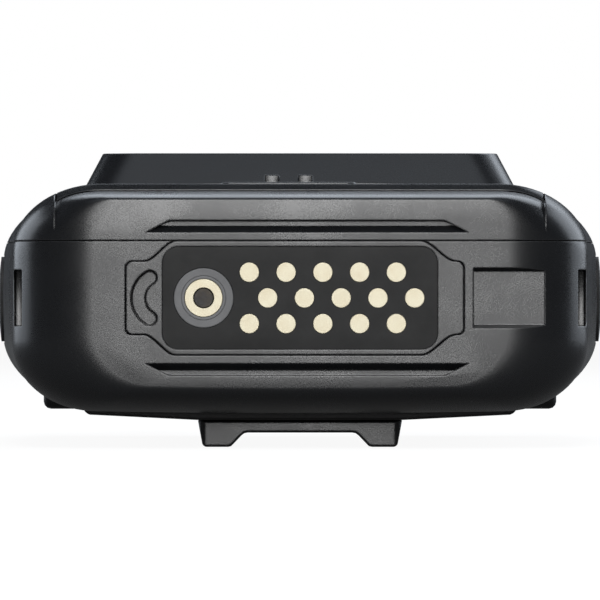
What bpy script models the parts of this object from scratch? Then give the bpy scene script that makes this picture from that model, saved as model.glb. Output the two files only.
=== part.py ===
"""Body-worn wireless transmitter with a contact dock on its lower end.

The unit lies on its back: +Z is its front, +X its right, and the dock faces -Y. Heights are measured
from the feet of the clip rail, and lengths from the dock face.
"""

import math

import bmesh
import bpy
from mathutils import Matrix

MM = 0.001

# Case: overall sizes
BODY_LENGTH = 100.0 * MM
CASE_HALF_WIDTH = 29.0 * MM
CASE_LOW = 3.7 * MM
CASE_HIGH = 26.6 * MM
BACK_CROWN = 0.2 * MM
SEAM = 0.1 * MM
SIDE_WALL = 2.2 * MM
CAVITY_HALF_WIDTH = CASE_HALF_WIDTH - SIDE_WALL
CAVITY_CORNER = 6.0 * MM
END_WALL = 3.2 * MM

# Case: corners of its section, as elliptical quarter arcs (width, height)
LOW_CORNER = (8.5 * MM, 7.0 * MM)
HIGH_CORNER = (9.0 * MM, 6.9 * MM)
CORNER_STEPS = 7

# Case: rounding of its two ends (length, then how far the sides, the back and the front draw in)
DOCK_END = (7.0 * MM, 7.8 * MM, 2.7 * MM, 2.2 * MM)
TOP_END = (4.0 * MM, 4.0 * MM, 2.0 * MM, 2.0 * MM)
END_STEPS = 5
LENGTH_STEPS = 10

# Case: grip flare at mid length
FLARE = 0.75 * MM
GRIP_BULGE = 1.5 * MM
GRIP_CENTRE = 47.0 * MM
GRIP_REACH = 36.0 * MM
GRIP_HEIGHT = 15.0 * MM
GRIP_HALF_HEIGHT = 10.0 * MM

# Squared foot on the back of the top end
FOOT_HALF_WIDTH = CASE_HALF_WIDTH - 1.2 * MM
FOOT_DROP = 0.6 * MM
FOOT_LOW = CASE_LOW - FOOT_DROP
FOOT_START = BODY_LENGTH - 16.0 * MM
FOOT_END = BODY_LENGTH - 2.5 * MM
FOOT_EDGE = 0.8 * MM

# Clearances
FIT = 0.15 * MM
SLIDE_FIT = 0.3 * MM
STACK_GAP = 0.3 * MM

# Dock
DOCK_HEIGHT = 15.1 * MM
FRAME_LEFT = -17.44 * MM
FRAME_RIGHT = 16.4 * MM
FRAME_HALF_HEIGHT = 5.7 * MM
PARTING_HEIGHT = DOCK_HEIGHT + FRAME_HALF_HEIGHT + 0.03 * MM
WING_HALF_HEIGHT = 3.66 * MM
WING_CORNER = 0.7 * MM
LEFT_SHOULDER = (-15.5 * MM, -12.75 * MM)
RIGHT_SHOULDER = (12.4 * MM, 15.5 * MM)
FRAME_DEPTH = 3.3 * MM
PLATE_HALF_WIDTH = 13.77 * MM
PLATE_HALF_HEIGHT = 5.15 * MM
PLATE_CORNER = 1.45 * MM
PLATE_SETBACK = 0.05 * MM
FLANGE_OVERLAP = 1.6 * MM
FLANGE_THICKNESS = 1.2 * MM
CONTACT_RADIUS = 0.985 * MM
CONTACT_PITCH = 3.677 * MM
CONTACT_ROW_PITCH = 2.57 * MM
CONTACT_FIRST_X = -5.07 * MM
CONTACT_LENGTH = 6.6 * MM
CONTACT_SIDES = 14
CONTACT_CLEARANCE = 0.1 * MM
COAX_X = -9.64 * MM
COAX_INSULATOR_RADIUS = 3.0 * MM
COAX_BARREL_RADIUS = 1.91 * MM
COAX_BORE_RADIUS = 1.03 * MM
COAX_CORE_RADIUS = 0.62 * MM
COAX_CORE_SETBACK = 0.6 * MM
COAX_LENGTH = 6.6 * MM
KIDNEY_X = -13.8 * MM
KIDNEY_INNER = 1.7 * MM
KIDNEY_OUTER = 3.06 * MM
KIDNEY_HALF_ANGLE = math.radians(59)
KIDNEY_DEPTH = 1.2 * MM
BOARD_THICKNESS = 1.2 * MM

# Pockets and grooves in the dock end
LATCH_POCKET_X = (17.33 * MM, 24.49 * MM)
LATCH_POCKET_HALF_HEIGHT = 3.03 * MM
LATCH_POCKET_DRAFT = 0.35 * MM
LATCH_POCKET_DEPTH = 1.0 * MM
SIDE_POCKET_X = (CASE_HALF_WIDTH - 1.1 * MM, CASE_HALF_WIDTH - 0.25 * MM)
SIDE_POCKET_HALF_HEIGHT = 2.84 * MM
SIDE_POCKET_FLOOR = 9.0 * MM
GROOVE_OFFSET = (6.58 * MM, 7.79 * MM)
GROOVE_WALL_DRAFT = 0.45 * MM
GROOVE_DEPTH = 0.8 * MM
GROOVE_TIPS = (-15.4 * MM, 16.9 * MM)
GROOVE_SLANT = 2.55 * MM

# Front
FASCIA_THICKNESS = 0.65 * MM
FASCIA_HALF_WIDTH = 24.45 * MM
FASCIA_START = 4.0 * MM
FASCIA_END = BODY_LENGTH - 4.2 * MM
HOOD_LENGTH = 38.0 * MM
HOOD_START = FASCIA_END - HOOD_LENGTH - 0.3 * MM
HOOD_BASE_HALF_WIDTH = 23.0 * MM
HOOD_TOP_HALF_WIDTH = 21.0 * MM
HOOD_TOP = 30.5 * MM
HOOD_CORNER = 4.0 * MM
HOOD_NEAR_SLOPE = 3.0 * MM
HOOD_WALL = 1.6 * MM
LENS_HALF_WIDTH = 16.0 * MM
LENS_LENGTH = 24.0 * MM
LENS_START = HOOD_START + 7.0 * MM
LENS_THICKNESS = 1.2 * MM
PANEL_THICKNESS = 1.8 * MM
SHELL_WINDOW_HALF_WIDTH = 14.0 * MM
PANEL_OVERLAP = 1.5 * MM

# Front controls
KEY_TRAVEL = 0.4 * MM
KEY_WELL_DEPTH = 1.3 * MM
FUNCTION_KEY_X = -1.15 * MM
FUNCTION_KEY_START = 9.0 * MM
FUNCTION_KEY_SIZE = (13.7 * MM, 9.0 * MM)
FUNCTION_KEY_PROUD = 0.2 * MM
RIDGE_WIDTH = 1.3 * MM
RIDGE_HEIGHT = 0.75 * MM
RIDGE_LENGTH = 5.0 * MM
RIDGE_PITCH = 3.4 * MM
MENU_KEY_SIZE = (9.0 * MM, 5.0 * MM)
MENU_KEY_PITCH = 13.0 * MM
MENU_KEY_Y = HOOD_START - 8.5 * MM
MENU_KEY_PROUD = 0.35 * MM
LIGHT_X = 19.5 * MM
LIGHT_Y = MENU_KEY_Y - 11.0 * MM
LIGHT_RADIUS = 1.2 * MM

# Side buttons
SIDE_BUTTON_LENGTH = 22.0 * MM
SIDE_BUTTON_HEIGHT = 8.8 * MM
SIDE_BUTTON_PROUD = 0.3 * MM
SIDE_BUTTON_TRAVEL = 0.6 * MM
SIDE_WELL_FLOOR = CASE_HALF_WIDTH - 0.8 * MM
SIDE_BUTTON_CORNER = 3.2 * MM

# Battery and clip rail
BATTERY_HALF_WIDTH = 22.0 * MM
BATTERY_START = 12.0 * MM
BATTERY_END_MARGIN = 14.0 * MM
BATTERY_LENGTH = BODY_LENGTH - BATTERY_START - BATTERY_END_MARGIN
BATTERY_LOW = 2.75 * MM
BATTERY_EDGE_RISE = 0.5 * MM
BATTERY_HIGH = 10.3 * MM
BAY_WEB = 1.7 * MM
RAIL_TOP_HALF_WIDTH = 10.35 * MM
RAIL_FOOT_HALF_WIDTH = 9.95 * MM
RAIL_CHANNEL_MOUTH = 7.05 * MM
RAIL_CHANNEL_ROOF = 5.75 * MM
RAIL_CHANNEL_HEIGHT = 1.45 * MM
RAIL_FOOT_EDGE = 0.3 * MM
RAIL_START = 14.0 * MM
RAIL_LENGTH = 42.0 * MM
RAIL_SCREW_INSET = 8.0 * MM
TERMINAL_SIZE = (12.0 * MM, 4.0 * MM)
TERMINAL_Y = 17.0 * MM
TERMINAL_DROP = 0.9 * MM
LATCH_HALF_WIDTH = 8.0 * MM
LATCH_LENGTH = 6.6 * MM
LATCH_DEPTH = 1.8 * MM
LATCH_TRAVEL = 2.0 * MM

# Inside
SEAL_WIDTH = 0.8 * MM
SEAL_HEIGHT = 0.9 * MM
SEAL_OFFSET = 1.1 * MM
MAIN_BOARD_LOW = 14.0 * MM
BOARD_MARGIN = 0.4 * MM
SHIELD_HEIGHT = 2.4 * MM
SHIELD_X = (-20.0 * MM, 2.0 * MM)
SHIELD_LENGTH = 26.0 * MM
SHIELD_MARGIN = 4.0 * MM
SHOULDER_HEIGHT = 21.8 * MM
ROOF_HALF_WIDTH = 22.8 * MM
ROOF_HEIGHT = 24.4 * MM
DOCK_WELL = (19.5 * MM, 10.0 * MM, 7.0 * MM)
TOP_WELL = (24.5 * MM, BODY_LENGTH - 11.8 * MM, 7.5 * MM)

# Screws
CASE_SCREW_Y = (20.0 * MM, BODY_LENGTH - 22.0 * MM)
SCREW_RADIUS = 0.8 * MM
SCREW_HEAD_RADIUS = 1.6 * MM
SCREW_HEAD_HEIGHT = 0.8 * MM
CASE_SCREW_SEAT = 8.5 * MM
CASE_SCREW_TIP = 21.2 * MM
BOSS_RADIUS = 2.0 * MM
CASE_SCREW_X = CAVITY_HALF_WIDTH - BOSS_RADIUS - 0.2 * MM
RAIL_SCREW_LENGTH = 5.0 * MM

# Top end
FITTING_HEIGHT = 13.0 * MM
ANTENNA_X = -17.0 * MM
ANTENNA_RADIUS = 4.4 * MM
ANTENNA_TIP_RADIUS = 3.4 * MM
ANTENNA_LENGTH = 27.0 * MM
ANTENNA_GAP = 1.4 * MM
SOCKET_RADIUS = 3.6 * MM
MIC_X = 16.5 * MM
MIC_SHELL_RADIUS = 5.6 * MM
MIC_BORE_RADIUS = 4.4 * MM
MIC_RING_RADIUS = 7.0 * MM
MIC_RING_LENGTH = 3.2 * MM
MIC_PROUD = 4.2 * MM
MIC_PIN_RADIUS = 0.5 * MM
SWITCH_SIZE = (4.0 * MM, 4.0 * MM)
SWITCH_TRAVEL = 3.0 * MM
SWITCH_PROUD = 0.8 * MM

TOTAL_LENGTH = BODY_LENGTH + ANTENNA_GAP + ANTENNA_LENGTH

FINISHES = {
    "shell_plastic": ((0.030, 0.031, 0.033), 0.45, 0.0),
    "dock_plastic": ((0.060, 0.061, 0.064), 0.42, 0.0),
    "contact_gold": ((0.83, 0.76, 0.56), 0.30, 1.0),
    "steel": ((0.45, 0.45, 0.46), 0.35, 1.0),
    "board": ((0.02, 0.10, 0.05), 0.50, 0.0),
    "rubber": ((0.020, 0.020, 0.021), 0.70, 0.0),
    "lens": ((0.010, 0.011, 0.013), 0.08, 0.0),
    "light": ((0.30, 0.75, 0.35), 0.25, 0.0),
}

for old in list(bpy.data.objects):
    bpy.data.objects.remove(old, do_unlink=True)

PARTS = bpy.data.collections.new("bodypack_transmitter")
CUTTERS = bpy.data.collections.new("cutters")
bpy.context.scene.collection.children.link(PARTS)
bpy.context.scene.collection.children.link(CUTTERS)

ROOT = bpy.data.objects.new("dock_face_origin", None)
ROOT.location = (0.0, -TOTAL_LENGTH / 2, 0.0)
PARTS.objects.link(ROOT)


def finish_for(name, finish):
    """A Principled material of the piece's own, from its finish's colour, roughness and metallic value."""
    colour, roughness, metallic = FINISHES[finish]
    material = bpy.data.materials.new(name)
    material.use_nodes = True
    shader = material.node_tree.nodes["Principled BSDF"]
    shader.inputs["Base Color"].default_value = (*colour, 1.0)
    shader.inputs["Roughness"].default_value = roughness
    shader.inputs["Metallic"].default_value = metallic
    return material


def mesh_object(name, solid, collection, location):
    mesh = bpy.data.meshes.new(name)
    bmesh.ops.recalc_face_normals(solid, faces=solid.faces)
    solid.to_mesh(mesh)
    solid.free()
    made = bpy.data.objects.new(name, mesh)
    made.location = location
    made.parent = ROOT
    collection.objects.link(made)
    return made


def piece(name, solid, finish, location=(0.0, 0.0, 0.0)):
    """One sub-part of the transmitter."""
    made = mesh_object(name, solid, PARTS, location)
    made.data.materials.append(finish_for(name, finish))
    made.data.shade_smooth()
    made.data.set_sharp_from_angle(angle=math.radians(35))
    return made


def cutter(name, solid, location=(0.0, 0.0, 0.0)):
    """A shape that only cuts or joins."""
    made = mesh_object(name, solid, CUTTERS, location)
    made.hide_render = True
    made.display_type = "WIRE"
    return made


def combine(target, tool, operation="DIFFERENCE"):
    step = target.modifiers.new(tool.name, "BOOLEAN")
    step.operation = operation
    step.solver = "EXACT"
    step.object = tool
    return target


# Outlines: lists of (across, up) points, anticlockwise


def arc(centre, radii, start, end, steps):
    """Points along an elliptical arc, both ends included; angles in degrees."""
    points = []
    for step in range(steps + 1):
        angle = math.radians(start + (end - start) * step / steps)
        points.append((centre[0] + radii[0] * math.cos(angle), centre[1] + radii[1] * math.sin(angle)))
    return points


def circle(centre, radius, sides):
    return arc(centre, (radius, radius), 0.0, 360.0 * (sides - 1) / sides, sides - 1)


def rounded_rectangle(centre, half, radius, steps=4):
    points = []
    for quarter, (side, end) in enumerate(((1, -1), (1, 1), (-1, 1), (-1, -1))):
        corner = (centre[0] + side * (half[0] - radius), centre[1] + end * (half[1] - radius))
        start = 90.0 * (quarter - 1)
        points += arc(corner, (radius, radius), start, start + 90.0, steps)
    return points


# Solids


def prism(points, start, end, axis="Y"):
    """An outline in the plane across an axis, extruded along it."""
    order = {"X": lambda a, b, c: (c, a, b), "Y": lambda a, b, c: (a, c, b), "Z": lambda a, b, c: (a, b, c)}
    solid = bmesh.new()
    verts = [solid.verts.new(order[axis](across, up, start)) for across, up in points]
    base = solid.faces.new(verts)
    grown = bmesh.ops.extrude_face_region(solid, geom=[base], use_keep_orig=True)
    lifted = [item for item in grown["geom"] if isinstance(item, bmesh.types.BMVert)]
    bmesh.ops.translate(solid, verts=lifted, vec=order[axis](0.0, 0.0, end - start))
    return solid


def box(x_range, y_range, z_range, bevel=0.0, bevel_steps=3):
    solid = bmesh.new()
    size = [high - low for low, high in (x_range, y_range, z_range)]
    middle = [(high + low) / 2 for low, high in (x_range, y_range, z_range)]
    bmesh.ops.create_cube(solid, size=1.0, matrix=Matrix.LocRotScale(middle, None, size))
    if bevel:
        bmesh.ops.bevel(
            solid, geom=solid.edges, offset=bevel, affect="EDGES", segments=bevel_steps, profile=0.5
        )
    return solid


def hull(points):
    solid = bmesh.new()
    verts = [solid.verts.new(point) for point in points]
    bmesh.ops.convex_hull(solid, input=verts)
    return solid


def joined(*solids):
    """Several separate solids held in one mesh, for a cutter that makes them all at once."""
    whole = bmesh.new()
    for solid in solids:
        mesh = bpy.data.meshes.new("step")
        solid.to_mesh(mesh)
        solid.free()
        whole.from_mesh(mesh)
        bpy.data.meshes.remove(mesh)
    return whole


def turned(name, profile, finish, location, steps=28):
    """A profile of (radius, length) points, turned about Y. It closes on itself or on the axis."""
    solid = bmesh.new()
    verts = [solid.verts.new((radius, length, 0.0)) for radius, length in profile]
    for first, second in zip(verts, verts[1:]):
        solid.edges.new((first, second))
    if profile[0][0] > 0.0:
        solid.edges.new((verts[-1], verts[0]))
    made = piece(name, solid, finish, location)
    turn = made.modifiers.new("turn", "SCREW")
    turn.axis = "Y"
    turn.steps = turn.render_steps = steps
    turn.use_merge_vertices = True
    turn.merge_threshold = 0.000001
    turn.use_normal_flip = True
    turn.use_smooth_shade = True
    return made


# The case form, from which both shells, the fascia and the hood's foot are cut

CASE_MIDDLE = (CASE_LOW + CASE_HIGH) / 2
CASE_HALF_HEIGHT = (CASE_HIGH - CASE_LOW) / 2


def smooth_step(value):
    value = min(1.0, max(0.0, value))
    return value * value * (3.0 - 2.0 * value)


def case_outline(length, widen):
    """The case's section at a distance from the dock face, before its ends are rounded."""
    half = CASE_HALF_WIDTH + widen
    half += FLARE * smooth_step((length - DOCK_END[0]) / (GRIP_CENTRE - DOCK_END[0]))
    reach = min(1.0, abs(length - GRIP_CENTRE) / GRIP_REACH)
    bulge = GRIP_BULGE * 0.5 * (1.0 + math.cos(math.pi * reach))
    low_side = CASE_LOW + LOW_CORNER[1]
    high_side = CASE_HIGH - HIGH_CORNER[1]
    back_flat = half - LOW_CORNER[0]
    low = arc((back_flat, low_side), LOW_CORNER, -90.0, 0.0, CORNER_STEPS)
    side = [(half, low_side + (high_side - low_side) * step / 4) for step in (1, 2, 3)]
    high = arc((half - HIGH_CORNER[0], high_side), HIGH_CORNER, 0.0, 90.0, CORNER_STEPS)
    right = low + side + high
    points = []
    for across, up in right + [(-across, up) for across, up in reversed(right)]:
        swell = bulge * max(0.0, 1.0 - ((up - GRIP_HEIGHT) / GRIP_HALF_HEIGHT) ** 2)
        points.append((across + math.copysign(swell, across), up))
    crown = [
        (back_flat * share, CASE_LOW - BACK_CROWN * (1.0 - share * share)) for share in (-0.5, 0.0, 0.5)
    ]
    return points + crown


def case_ring(length, draw, widen):
    """One ring of the case form; draw is how far its sides, back and front are drawn in."""
    sides, back, front = draw
    ring = []
    for across, up in case_outline(length, widen):
        height = up - CASE_MIDDLE
        share = (front if height > 0.0 else back) / CASE_HALF_HEIGHT
        ring.append((across * (1.0 - sides / CASE_HALF_WIDTH), length, CASE_MIDDLE + height * (1.0 - share)))
    return ring


def case_form(widen=0.0, drop=0.0):
    """The whole outer form as one solid, widened at its sides or let down by an amount."""
    rings = []
    for step in range(END_STEPS + 1):
        angle = math.pi / 2 * step / END_STEPS
        draw = [amount * (1.0 - math.sin(angle)) for amount in DOCK_END[1:]]
        rings.append(case_ring(DOCK_END[0] * (1.0 - math.cos(angle)), draw, widen))
    straight = BODY_LENGTH - DOCK_END[0] - TOP_END[0]
    for step in range(1, LENGTH_STEPS):
        rings.append(case_ring(DOCK_END[0] + straight * step / LENGTH_STEPS, (0.0, 0.0, 0.0), widen))
    for step in range(END_STEPS + 1):
        angle = math.pi / 2 * (END_STEPS - step) / END_STEPS
        draw = [amount * (1.0 - math.sin(angle)) for amount in TOP_END[1:]]
        rings.append(case_ring(BODY_LENGTH - TOP_END[0] * (1.0 - math.cos(angle)), draw, widen))
    solid = bmesh.new()
    loops = [[solid.verts.new((x, y, z - drop)) for x, y, z in ring] for ring in rings]
    for near, far in zip(loops, loops[1:]):
        for index in range(len(near)):
            after = (index + 1) % len(near)
            solid.faces.new((near[index], near[after], far[after], far[index]))
    solid.faces.new(loops[0])
    solid.faces.new(loops[-1])
    return solid


def rod(centre, radius, start, end, sides=16, axis="Y"):
    return prism(circle(centre, radius, sides), start, end, axis)


# Shared cutters

BEYOND = 10.0 * MM
CAVITY_MIDDLE = (0.0, BODY_LENGTH / 2)
CAVITY_HALF = (CAVITY_HALF_WIDTH, BODY_LENGTH / 2 - END_WALL)
BAY_ROOF = BATTERY_HIGH + STACK_GAP
BAY_END = BATTERY_START + BATTERY_LENGTH + SLIDE_FIT
LATCH_START = BAY_END + SLIDE_FIT


def frame_outline(grow=0.0):
    """The dock frame: a tall middle and a lower wing each side, joined by S-shaped shoulders."""
    top = arc(
        (FRAME_RIGHT + grow - WING_CORNER, WING_HALF_HEIGHT + grow - WING_CORNER),
        (WING_CORNER, WING_CORNER), 0.0, 90.0, 3,
    )
    for share in (0.0, 0.2, 0.4, 0.6, 0.8, 1.0):
        rise = (FRAME_HALF_HEIGHT - WING_HALF_HEIGHT) * smooth_step(share) + WING_HALF_HEIGHT + grow
        top.append((RIGHT_SHOULDER[1] + (RIGHT_SHOULDER[0] - RIGHT_SHOULDER[1]) * share + grow, rise))
    for share in (1.0, 0.8, 0.6, 0.4, 0.2, 0.0):
        rise = (FRAME_HALF_HEIGHT - WING_HALF_HEIGHT) * smooth_step(share) + WING_HALF_HEIGHT + grow
        top.append((LEFT_SHOULDER[0] + (LEFT_SHOULDER[1] - LEFT_SHOULDER[0]) * share - grow, rise))
    top += arc(
        (FRAME_LEFT - grow + WING_CORNER, WING_HALF_HEIGHT + grow - WING_CORNER),
        (WING_CORNER, WING_CORNER), 90.0, 180.0, 3,
    )
    bottom = [(across, -up) for across, up in reversed(top)]
    return [(across, DOCK_HEIGHT + up) for across, up in top + bottom]


def kidney_outline():
    middle = (KIDNEY_INNER + KIDNEY_OUTER) / 2
    cap = (KIDNEY_OUTER - KIDNEY_INNER) / 2
    half = math.degrees(KIDNEY_HALF_ANGLE)
    centre = (KIDNEY_X, DOCK_HEIGHT)
    points = arc(centre, (KIDNEY_OUTER, KIDNEY_OUTER), 180.0 - half, 180.0 + half, 8)
    for turn, sweep in ((180.0 + half, 1), (180.0 - half, -1)):
        angle = math.radians(turn)
        end = (KIDNEY_X + middle * math.cos(angle), DOCK_HEIGHT + middle * math.sin(angle))
        if sweep > 0:
            points += arc(end, (cap, cap), turn, turn + 180.0, 4)[1:-1]
            points += arc(centre, (KIDNEY_INNER, KIDNEY_INNER), 180.0 + half, 180.0 - half, 8)
        else:
            points += arc(end, (cap, cap), turn - 180.0, turn, 4)[1:-1]
    return points


def groove_cutter(name, side):
    """A guide groove: one steep wall towards the dock and a floor that runs out to the end face."""
    steep, shallow = (DOCK_HEIGHT + side * offset for offset in GROOVE_OFFSET)
    left, right = GROOVE_TIPS
    above = -0.05 * MM
    bottom = steep + side * GROOVE_WALL_DRAFT
    inset = GROOVE_SLANT / 2
    return cutter(name, hull([
        (left, above, steep), (right, above, steep),
        (left + GROOVE_SLANT, above, shallow), (right - GROOVE_SLANT, above, shallow),
        (left + inset, GROOVE_DEPTH, bottom), (right - inset, GROOVE_DEPTH, bottom),
    ]))


def whole_length(low, high):
    """A box over the whole case between two heights."""
    across = CASE_HALF_WIDTH + BEYOND
    return box((-across, across), (-BEYOND, BODY_LENGTH + BEYOND), (low, high))


def front_area(name, half, start, end):
    """A tall box over part of the front, which picks out what the case form has there."""
    return cutter(name, box((-half, half), (start, end), (CASE_MIDDLE, CASE_HIGH + BEYOND)))


def cavity(name, low, high, half=CAVITY_HALF, corner=CAVITY_CORNER):
    return cutter(name, prism(rounded_rectangle(CAVITY_MIDDLE, half, corner), low, high, "Z"))


def side_outline(grow=0.0):
    """A side button's rounded outline, along and up."""
    half = (SIDE_BUTTON_LENGTH / 2 + grow, SIDE_BUTTON_HEIGHT / 2 + grow)
    return rounded_rectangle((GRIP_CENTRE, GRIP_HEIGHT), half, SIDE_BUTTON_CORNER + grow)


def case_screw_places():
    return [(side * CASE_SCREW_X, along) for along in CASE_SCREW_Y for side in (-1, 1)]


def rail_screw_places():
    return [RAIL_START + RAIL_SCREW_INSET, RAIL_START + RAIL_LENGTH - RAIL_SCREW_INSET]


# Shells


def battery_bay():
    half = BATTERY_HALF_WIDTH + SLIDE_FIT
    along = (BATTERY_START - SLIDE_FIT, BAY_END)
    return cutter("battery_bay", box((-half, half), along, (-BEYOND, BAY_ROOF)))


def latch_pocket():
    """The accessory's latch hole beside the dock, with drafted walls."""
    left, right = LATCH_POCKET_X
    half = LATCH_POCKET_HALF_HEIGHT
    floor = half - LATCH_POCKET_DRAFT
    mouth = -0.01 * MM
    corners = [(x, mouth, DOCK_HEIGHT + z) for x in (left, right) for z in (-half, half)]
    corners += [(x, LATCH_POCKET_DEPTH, DOCK_HEIGHT + z) for x in (left, right) for z in (-floor, floor)]
    return cutter("latch_pocket", hull(corners))


def side_pockets():
    solids = []
    for side in (-1, 1):
        across = sorted(side * edge for edge in SIDE_POCKET_X)
        half = SIDE_POCKET_HALF_HEIGHT
        solids.append(box(across, (0.0, SIDE_POCKET_FLOOR), (DOCK_HEIGHT - half, DOCK_HEIGHT + half)))
    return cutter("side_pockets", joined(*solids))


def side_wells():
    solids = []
    for side in (-1, 1):
        start, end = sorted((side * SIDE_WELL_FLOOR, side * (SIDE_WELL_FLOOR + BEYOND)))
        solids.append(prism(side_outline(FIT), start, end, "X"))
    return cutter("side_wells", joined(*solids))


def screw_wells():
    radius = SCREW_HEAD_RADIUS + FIT
    wells = [rod(place, radius, -BEYOND, CASE_SCREW_SEAT, 16, "Z") for place in case_screw_places()]
    return cutter("screw_wells", joined(*wells))


def screw_holes(name, start, end):
    holes = [rod(place, SCREW_RADIUS + FIT, start, end, 10, "Z") for place in case_screw_places()]
    return cutter(name, joined(*holes))


def top_end_holes():
    inside = BODY_LENGTH - END_WALL - MM
    outside = BODY_LENGTH + BEYOND
    slot = (SWITCH_SIZE[0] / 2 + FIT, SWITCH_SIZE[1] / 2 + FIT)
    return cutter("top_end_holes", joined(
        rod((ANTENNA_X, FITTING_HEIGHT), SOCKET_RADIUS + FIT, inside, outside, 20),
        rod((MIC_X, FITTING_HEIGHT), MIC_SHELL_RADIUS + FIT, inside, outside, 28),
        box(
            (-SWITCH_TRAVEL / 2 - slot[0], SWITCH_TRAVEL / 2 + slot[0]), (inside, outside),
            (FITTING_HEIGHT - slot[1], FITTING_HEIGHT + slot[1]),
        ),
    ))


def rear_shell():
    shell = piece("rear_shell", case_form(), "shell_plastic")
    across = (-FOOT_HALF_WIDTH, FOOT_HALF_WIDTH)
    foot = box(across, (FOOT_START, FOOT_END), (FOOT_LOW, DOCK_HEIGHT), FOOT_EDGE, 2)
    combine(shell, cutter("squared_foot", foot), "UNION")
    combine(shell, cutter("above_parting", whole_length(PARTING_HEIGHT - SEAM / 2, CASE_HIGH + BEYOND)))
    web_top = BAY_ROOF + BAY_WEB
    combine(shell, cavity("rear_cavity", web_top, CASE_HIGH + BEYOND))
    across, end, low = DOCK_WELL
    combine(shell, cutter("dock_well", box((-across, across), (END_WALL, end), (low, web_top + MM))))
    across, start, low = TOP_WELL
    end = BODY_LENGTH - END_WALL
    combine(shell, cutter("top_well", box((-across, across), (start, end), (low, web_top + MM))))
    combine(shell, battery_bay())
    combine(shell, cutter("dock_opening", prism(frame_outline(FIT), -BEYOND, END_WALL + MM)))
    combine(shell, latch_pocket())
    combine(shell, side_pockets())
    combine(shell, groove_cutter("lower_groove", -1))
    combine(shell, side_wells())
    combine(shell, screw_wells())
    combine(shell, screw_holes("rear_screw_holes", CASE_SCREW_SEAT - MM, web_top + MM))
    half_x, half_y = (size / 2 + SLIDE_FIT for size in TERMINAL_SIZE)
    combine(shell, cutter("terminal_opening", box(
        (-half_x, half_x), (TERMINAL_Y - half_y, TERMINAL_Y + half_y), (BAY_ROOF - MM, web_top + MM)
    )))
    half = LATCH_HALF_WIDTH + SLIDE_FIT
    slot_end = LATCH_START + LATCH_LENGTH + LATCH_TRAVEL + SLIDE_FIT
    combine(shell, cutter("latch_slot", box(
        (-half, half), (BAY_END - MM, slot_end), (-BEYOND, FOOT_LOW + LATCH_DEPTH + SLIDE_FIT)
    )))
    combine(shell, top_end_holes())


def fascia_recess():
    """The step in the front shell that the fascia and the hood's foot fill."""
    recess = cutter("fascia_recess", case_form())
    area = front_area("recess_area", FASCIA_HALF_WIDTH + FIT, FASCIA_START - FIT, FASCIA_END)
    combine(recess, area, "INTERSECT")
    return combine(recess, cutter("recess_floor", case_form(drop=FASCIA_THICKNESS + SEAM)))


def key_openings(name, low, high):
    """Openings in the front for its four keys and the status light."""
    solids = [prism(rounded_rectangle(
        (FUNCTION_KEY_X, FUNCTION_KEY_START + FUNCTION_KEY_SIZE[1] / 2),
        [size / 2 + FIT for size in FUNCTION_KEY_SIZE], 1.0 * MM
    ), low, high, "Z")]
    for place in (-1, 0, 1):
        half = [size / 2 + FIT for size in MENU_KEY_SIZE]
        solids.append(prism(rounded_rectangle(
            (place * MENU_KEY_PITCH, MENU_KEY_Y), half, 1.2 * MM
        ), low, high, "Z"))
    return cutter(name, joined(*solids))


def seal_outline(grow):
    half = [size + SEAL_OFFSET + grow for size in CAVITY_HALF]
    return rounded_rectangle(CAVITY_MIDDLE, half, CAVITY_CORNER + SEAL_OFFSET + grow, 5)


def seal_ring(tool_name, width, low, high):
    outer = prism(seal_outline(width / 2), low, high, "Z")
    return outer, cutter(tool_name, prism(seal_outline(-width / 2), low - MM, high + MM, "Z"))


def front_shell():
    shell = piece("front_shell", case_form(), "shell_plastic")
    low = PARTING_HEIGHT + SEAM / 2
    combine(shell, cutter("below_parting", whole_length(-BEYOND, low)))
    combine(shell, cavity("front_cavity", CASE_LOW, SHOULDER_HEIGHT))
    roof_half = (ROOF_HALF_WIDTH, CAVITY_HALF[1] - MM)
    combine(shell, cavity("roof_cavity", CASE_MIDDLE, ROOF_HEIGHT, roof_half, CAVITY_CORNER - 2 * MM))
    bosses = [
        rod(place, BOSS_RADIUS, BAY_ROOF + BAY_WEB + STACK_GAP, SHOULDER_HEIGHT + MM, 12, "Z")
        for place in case_screw_places()
    ]
    combine(shell, cutter("screw_bosses", joined(*bosses)), "UNION")
    combine(shell, screw_holes("boss_holes", CASE_LOW, CASE_SCREW_TIP + STACK_GAP))
    combine(shell, fascia_recess())
    combine(shell, groove_cutter("upper_groove", 1))
    outer, inner = seal_ring("seal_groove_inner", SEAL_WIDTH + 2 * FIT, CASE_MIDDLE, low + SEAL_HEIGHT + FIT)
    combine(shell, combine(cutter("seal_groove", outer), inner))
    combine(shell, key_openings("key_wells", CASE_HIGH - KEY_WELL_DEPTH, CASE_HIGH + BEYOND))
    combine(shell, cutter("panel_window", box(
        (-SHELL_WINDOW_HALF_WIDTH, SHELL_WINDOW_HALF_WIDTH), (LENS_START, LENS_START + LENS_LENGTH),
        (CASE_MIDDLE, CASE_HIGH + BEYOND)
    )))


def front_fascia():
    fascia = piece("front_fascia", case_form(), "shell_plastic")
    area = front_area("fascia_area", FASCIA_HALF_WIDTH, FASCIA_START, HOOD_START - FIT)
    combine(fascia, area, "INTERSECT")
    combine(fascia, cutter("fascia_underside", case_form(drop=FASCIA_THICKNESS)))
    combine(fascia, key_openings("fascia_openings", CASE_MIDDLE, CASE_HIGH + BEYOND))
    light = rod((LIGHT_X, LIGHT_Y), LIGHT_RADIUS + FIT, CASE_MIDDLE, CASE_HIGH + BEYOND, 14, "Z")
    combine(fascia, cutter("light_hole", light))


def shell_seal():
    low = PARTING_HEIGHT + SEAM / 2
    outer, inner = seal_ring("seal_inside", SEAL_WIDTH, low, low + SEAL_HEIGHT)
    combine(piece("shell_seal", outer, "rubber"), inner)


# Hood and display


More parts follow.
